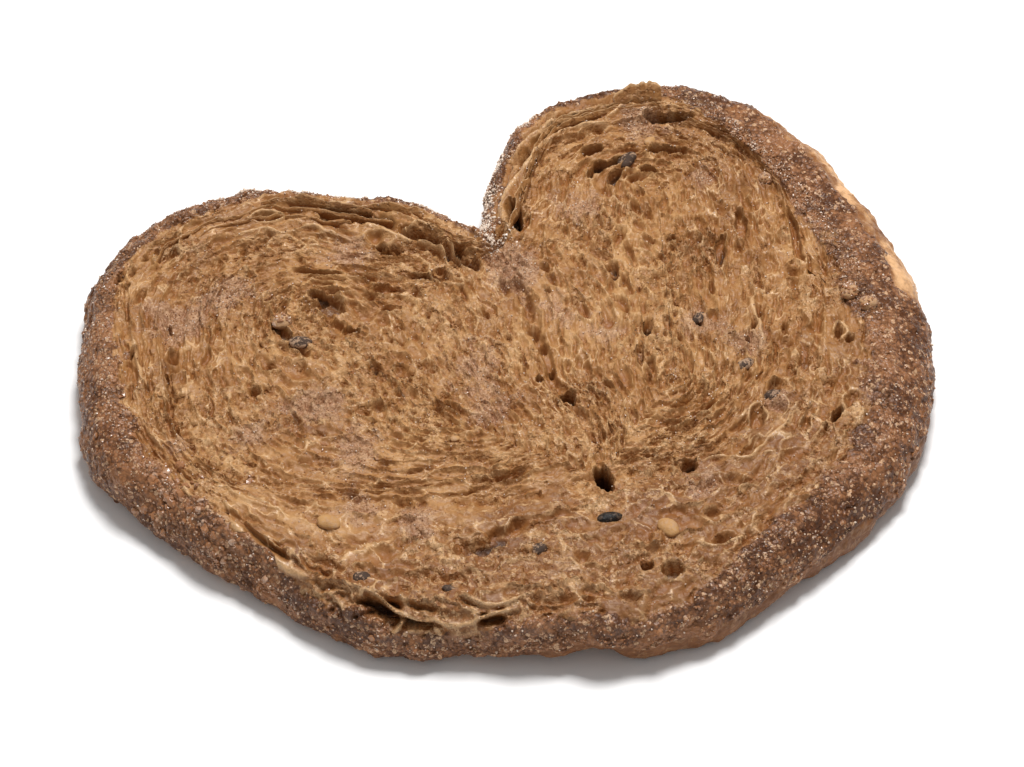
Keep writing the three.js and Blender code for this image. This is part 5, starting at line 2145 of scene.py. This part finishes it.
@dataclass(frozen=True)
class BakedFinish:
    """Baked pastry: browned layers with thin walls and pores, sugar dust and sugar crust, with
    painted shade in the pores, pits and crevices and painted highlights on the crests, edges and
    glints.
    """

    name: str
    pale: Colour = paint(182, 136, 86)
    golden: Colour = paint(156, 107, 58)
    brown: Colour = paint(120, 74, 34)
    # Warmer pastry and painted shade down in the pores, then painted shade at the bottom of the
    # deepest pores and pockets.
    hollow: Colour = paint(138, 85, 38)
    deep: Colour = paint(72, 42, 19)
    # The walls' pale tone with a painted highlight on it.
    crest: Colour = paint(212, 171, 125)
    dust: Colour = paint(196, 158, 130)
    dust_shade: Colour = paint(130, 94, 72)
    crystal: Colour = paint(153, 103, 67)
    # Dark brown between the sugar crystals, partly random dark tone, partly painted shade.
    crevice: Colour = paint(83, 47, 24)
    # Painted glints on the sugar crystals.
    sparkle: Colour = paint(219, 180, 142)
    gloss: float = 0.42
    along_the_layers: tuple[float, float, float] = (0.22, 0.22, 1.0)
    bump_depth: float = 0.0003

    def material(self, groups: Groups) -> Material:
        """The finish as a material."""
        material, n, shader = new_finish(self.name)
        along = n.add("ShaderNodeAttribute", {"attribute_name": GRAIN}).outputs["Vector"]
        drawn_out = n.vector("MULTIPLY", along, self.along_the_layers)
        streaks = n.add("ShaderNodeTexNoise", Vector=drawn_out, Scale=LAYER_STREAKS, Detail=4.0)
        browned = n.group(
            groups.browning,
            Pale=self.pale,
            Golden=self.golden,
            Brown=self.brown,
            Toast=n.mask(Mask.TOAST),
            Streaks=streaks.outputs["Fac"],
        )
        flaky = n.scaled(n.mask(Mask.FLAKES), 0.65, 0.35)
        flakes = n.group(groups.flakes, Along=along)
        # Flake edges: a ridge in the bump, and a painted highlight through the crest colour.
        edge = n.times(flakes.outputs["Edge"], flaky)
        # Flake pits: a dent in the bump, and painted shade towards the hollow colour.
        pit = n.times(flakes.outputs["Pit"], flaky)
        grain = flakes.outputs["Grain"]
        facets = n.group(groups.facets, Vector=n.place(), Scale=CRUMBS)
        # Painted glints: pale spots in the colour where facets would catch the lamp; they are also
        # less rough.
        glint = n.ramp(n.plus(facets.outputs["Chance"], grain), 1.25, 1.45)
        glint = n.times(glint, flaky)
        # Crest colour: pale thin walls with a painted highlight along walls, flake edges and
        # glints; crests are also less rough.
        wall = n.plus(n.mask(Mask.CREST), n.scaled(grain, 0.4, -0.2))
        crest = n.times(n.ramp(wall, 0.35, 0.95), 0.75)
        crest = n.math("MAXIMUM", crest, n.times(edge, 0.4))
        crest = n.math("MAXIMUM", crest, n.times(glint, 0.5))
        # Warmer colour and painted shade down in the pores, and painted shade in the flakes' pits.
        pored = n.group(
            groups.pores,
            Color=n.blend(n.times(pit, 0.5), browned.outputs["Color"], self.hollow),
            Hollow=self.hollow,
            Deep=self.deep,
            Crest_color=self.crest,
            Pore=n.mask(Mask.PORE),
            Crest=crest,
        )
        grained = n.times(n.math("SUBTRACT", n.ramp(grain, 0.3, 0.7), 0.5), 0.3)
        grained = n.scaled(grained, flaky, 1.0)
        dusted = n.group(
            groups.dust,
            Color=n.blend(1.0, pored.outputs["Color"], grained, "MULTIPLY"),
            Light=self.dust,
            Shade=self.dust_shade,
            Dust=n.mask(Mask.DUST),
        )
        sugared = n.group(
            groups.crystals,
            Color=dusted.outputs["Color"],
            Crystal=self.crystal,
            Crevice=self.crevice,
            Sparkle=self.sparkle,
            Sugar=n.mask(Mask.SUGAR),
        )
        height = n.scaled(facets.outputs["Slant"], 0.4, n.times(grain, 0.4))
        height = n.scaled(edge, 0.6, n.times(height, flaky))
        height = n.scaled(pit, -0.7, height)
        height = n.scaled(streaks.outputs["Fac"], 0.7, height)
        height = n.plus(height, sugared.outputs["Height"])
        bump = n.add("ShaderNodeBump", Strength=0.9, Distance=self.bump_depth, Height=height)
        rough = n.scaled(dusted.outputs["Cover"], 0.25, 0.52)
        rough = n.math("SUBTRACT", rough, n.times(crest, 0.3))
        rough = n.math("SUBTRACT", rough, n.times(sugared.outputs["Cover"], 0.12))
        normal = bump.outputs["Normal"]
        n.coat(shader, sugared.outputs["Color"], rough, self.gloss, normal)
        return material


@dataclass(frozen=True)
class SeedFinish:
    """A baked-on seed's satin skin."""

    name: str
    light: Colour
    dark: Colour
    roughness: float
    dusty: float
    dust: Colour = paint(180, 146, 118)
    gloss: float = 0.2
    bump_depth: float = 0.00025

    def material(self, groups: Groups) -> Material:
        """The finish as a material."""
        material, n, shader = new_finish(self.name)
        crumb = n.group(groups.crumb, Coarse=0.9)
        height = crumb.outputs["Height"]
        bump = n.add("ShaderNodeBump", Strength=0.7, Distance=self.bump_depth, Height=height)
        skin = n.blend(n.noise(MOTTLES, 4.0), self.light, self.dark)
        dusty = n.ramp(n.scaled(n.noise(BLOTCHES, 2.0), 0.7, n.noise(SEED_DUST, 3.0)), 0.85, 1.0)
        colour = n.blend(n.times(dusty, self.dusty), skin, self.dust)
        n.coat(shader, colour, self.roughness, self.gloss, bump.outputs["Normal"])
        return material


@dataclass(frozen=True)
class SugarFinish:
    """Clear to caramel sugar grains with bright facets."""

    clear: Colour = paint(230, 210, 190)
    caramel: Colour = paint(154, 104, 66)
    roughness: float = 0.25
    gloss: float = 0.6

    def material(self) -> Material:
        """The finish as a material."""
        material, n, shader = new_finish("sugar")
        tone = n.plus(n.mask(Mask.TOAST), n.scaled(n.noise(CRUMBS), 0.6, -0.3))
        colour = n.blend(n.ramp(tone, 0.2, 0.8), self.clear, self.caramel)
        n.coat(shader, colour, self.roughness, self.gloss)
        return material


# ---- the studio --------------------------------------------------------------------------------


@dataclass(frozen=True)
class Studio:
    """A white table, soft light and the camera.

    Attributes:
        azimuth: The way that the camera looks, in degrees.
        elevation: How steeply it looks down, in degrees.
        distance: How far it is from the aim, in metres.
        lens: Focal length in mm.
        sensor: Width of the picture behind the lens, in mm.
        aim: Where it looks, in plan mm over the table.
        offset: How far the aim is moved right and up in the picture, in mm.
        sky: How bright the sky is.
        key_power: How bright the lamp is, in watts.
        key_size: How wide it is, in metres.
        key_place: Where it is, in metres right of, behind and above the table's middle.
        floor_paint: The table's colour.
        floor_size: How wide the table is, in metres.
    """

    azimuth: float = -22.0
    elevation: float = 48.0
    distance: float = 0.8
    lens: float = 188.4
    sensor: float = 36.0
    aim: tuple[float, float, float] = (0.0, 0.0, 5.0)
    offset: tuple[float, float] = (0.6, -1.716)
    sky: float = 0.38
    key_power: float = 5.2
    key_size: float = 0.22
    key_place: tuple[float, float, float] = (0.06, 0.18, 0.68)
    floor_paint: Colour = (0.93, 0.925, 0.92, 1.0)
    floor_size: float = 4.0

    def axes(self) -> tuple[Vector, Vector, Vector]:
        """The camera's right, up and backward directions."""
        a = math.radians(self.azimuth)
        e = math.radians(self.elevation)
        right = Vector((math.cos(a), math.sin(a), 0.0))
        forth = Vector((-math.sin(a), math.cos(a), 0.0))
        up = forth * math.sin(e) + Vector((0.0, 0.0, math.cos(e)))
        return right, up, right.cross(up)

    def build(self) -> None:
        """Sets up table, light and camera."""
        self.floor()
        self.lights()
        right, up, back = self.axes()
        middle = Vector(to_metres(np.array(self.aim)))
        middle += (right * self.offset[0] + up * self.offset[1]) * MM
        data = bpy.data.cameras.new("camera")
        data.lens = self.lens
        data.sensor_width = self.sensor
        camera = added("camera", data)
        turn = Matrix((right, up, back)).transposed().to_4x4()
        camera.matrix_world = Matrix.Translation(middle + back * self.distance) @ turn
        bpy.context.scene.camera = camera

    def floor(self) -> None:
        """The white table."""
        bpy.ops.mesh.primitive_plane_add(size=self.floor_size)
        table = bpy.context.object
        table.name = "table"
        material, n, shader = new_finish("table_white")
        n.coat(shader, self.floor_paint, roughness=0.9, gloss=0.0)
        table.data.materials.append(material)

    def lights(self) -> None:
        """A white sky, and a large soft lamp above and behind that points at the middle."""
        world = bpy.data.worlds.new("sky")
        world.use_nodes = True
        background = world.node_tree.nodes["Background"]
        background.inputs["Color"].default_value = (1.0, 1.0, 1.0, 1.0)
        background.inputs["Strength"].default_value = self.sky
        bpy.context.scene.world = world
        right, _, _ = self.axes()
        up = Vector((0.0, 0.0, 1.0))
        beside, behind, above = self.key_place
        place = right * beside + up.cross(right) * behind + up * above
        data = bpy.data.lights.new("key", "AREA")
        data.size = self.key_size
        data.energy = self.key_power
        lamp = added("key", data)
        lamp.location = place
        lamp.rotation_euler = place.to_track_quat("Z", "Y").to_euler()


def added(name: str, data: bpy.types.ID) -> Piece:
    """A camera or a lamp as a thing in the scene."""
    thing = bpy.data.objects.new(name, data)
    bpy.context.collection.objects.link(thing)
    return thing


# ---- putting it together -----------------------------------------------------------------------


def dress(piece: Piece, material: Material, slot: Slot) -> None:
    """Gives a piece its finish and ties it to the pastry."""
    piece.data.materials.clear()
    piece.data.materials.append(material)
    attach(piece, BODY)
    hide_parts(NODE)
    LOG.info("%s: %d faces", piece.name, len(piece.data.polygons))


def lay_seeds(tops: Ground, whole: Ground, groups: Groups) -> Piece:
    """Lays the seeds, and the knobs of crumb and sugar, and finishes them.

    Args:
        tops: The cut faces, which the seeds lie on.
        whole: The whole pastry, which the knobs lie on.
        groups: The shared node groups.

    Returns:
        The knobs, which take sugar of their own.
    """
    kinds = (
        (
            Seeds("pale_seeds", PALE_SEEDS, (3.5, 2.9, 1.9), 0.44, 0.2, knobbly=0.14, seed=500),
            SeedFinish("pale_seed", paint(204, 160, 106), paint(160, 112, 66), 0.5, dusty=0.5),
            Slot.PALE_SEED,
            tops,
        ),
        (
            Seeds("dark_seeds", DARK_SEEDS, (3.0, 2.1, 1.5), 0.68, 0.1, knobbly=0.32, seed=520),
            SeedFinish("dark_seed", paint(90, 69, 56), paint(44, 34, 28), 0.7, dusty=0.8),
            Slot.DARK_SEED,
            tops,
        ),
        (
            Seeds("black_seeds", BLACK_SEEDS, (3.2, 1.9, 1.4), 0.5, 0.2, knobbly=0.06, seed=530),
            SeedFinish("black_seed", paint(34, 28, 24), paint(14, 11, 10), 0.35, dusty=0.15),
            Slot.DARK_SEED,
            tops,
        ),
        (
            Seeds("round_lumps", ROUND_LUMPS, (3.0, 2.7, 2.4), 0.45, 0.1, knobbly=0.34, seed=540),
            SeedFinish("pale_knob", paint(206, 166, 122), paint(160, 118, 84), 0.6, dusty=0.9),
            Slot.PALE_SEED,
            whole,
        ),
    )
    made = []
    for seeds, finish, slot, ground in kinds:
        made.append(seeds.build(ground))
        dress(made[-1], finish.material(groups), slot)
    return made[-1]


def scatter_sugar(whole: Ground, knobs: Ground) -> None:
    """Scatters lumps, grains and dust of sugar over the pastry and over its knobs."""
    finish = SugarFinish().material()
    plan_xy = whole.places[:, :2] + PLAN_MIDDLE
    above = (whole.places[:, 2] > LIP_HEIGHT) * (whole.normals[:, 2] > 0.0)
    sugared = above * whole.sugar
    heaped = above * patch_sum(plan_xy, SUGAR_HEAPS)
    dusted = above * (0.12 + dusting(plan_xy) ** 2) * (whole.places[:, 2] > CUT_FACE_FROM)
    fringe = above * patch_sum(plan_xy, SPARKLING_RIM) ** 2 * (0.3 + whole.sugar)
    lumpy = sugared * (0.25 + heaped)
    upward = 0.1 + np.clip(knobs.normals[:, 2], 0.0, 1.0)
    kinds = (
        (
            Grains("sugar_heaps", 150, (0.5, 1.5), seed=30, sink=0.62, tones=TOASTED, facets=2),
            whole,
            heaped**2,
        ),
        (Grains("sugar_lumps", 200, (0.4, 0.9), seed=31, sink=0.6, tones=(0.6, 1.1)), whole, lumpy),
        (
            Grains("sugar_grains", 5200, (0.16, 0.42), seed=32, sink=0.4, tones=(0.35, 1.1)),
            whole,
            sugared,
        ),
        (Grains("sugar_dust", 5500, (0.13, 0.3), seed=33, sink=0.35), whole, dusted),
        (
            Grains("sugar_on_lumps", 190, (0.3, 0.75), seed=35, sink=0.62, tones=TOASTED),
            knobs,
            upward,
        ),
        (
            Grains("sugar_sparkle", 2600, (0.14, 0.5), seed=34, sink=0.2, tones=(0.0, 0.45)),
            whole,
            fringe,
        ),
    )
    for grains, ground, liking in kinds:
        dress(grains.build(ground, liking), finish, Slot.SUGAR)


def main() -> None:
    """Builds the palmier piece by piece and sets it on its table."""
    logging.basicConfig(level=logging.INFO, format="%(name)s: %(message)s")
    groups = Groups()
    layer_finish = BakedFinish("baked_layers").material(groups)
    crust_finish = BakedFinish(
        "sugared_crust",
        # This pale tone is partly the bare crust's own colour and partly painted light on the rim
        # that faces the lamp.
        pale=paint(222, 174, 126),
        golden=paint(140, 90, 48),
        brown=paint(105, 62, 30),
        gloss=0.28,
    ).material(groups)

    left = Coil(Side.LEFT, LEFT_STACK).build()
    right = Coil(Side.RIGHT, RIGHT_STACK).build()
    outer = OuterLayers(OUTER_STACK).build()
    crust = Crust().build()
    standing = StandingLayers().build()
    for piece in (*left, *right, *outer, standing):
        dress(piece, layer_finish, Slot.LAYERS)
    dress(crust, crust_finish, Slot.CRUST)

    tops = Ground([*left, *right, *outer])
    whole = Ground([*left, *right, *outer, crust, standing])
    knobs = lay_seeds(tops, whole, groups)
    scatter_sugar(whole, Ground([knobs]))

    Studio().build()
    bpy.context.scene.view_settings.view_transform = "Standard"


if __name__ == "__main__":
    main()
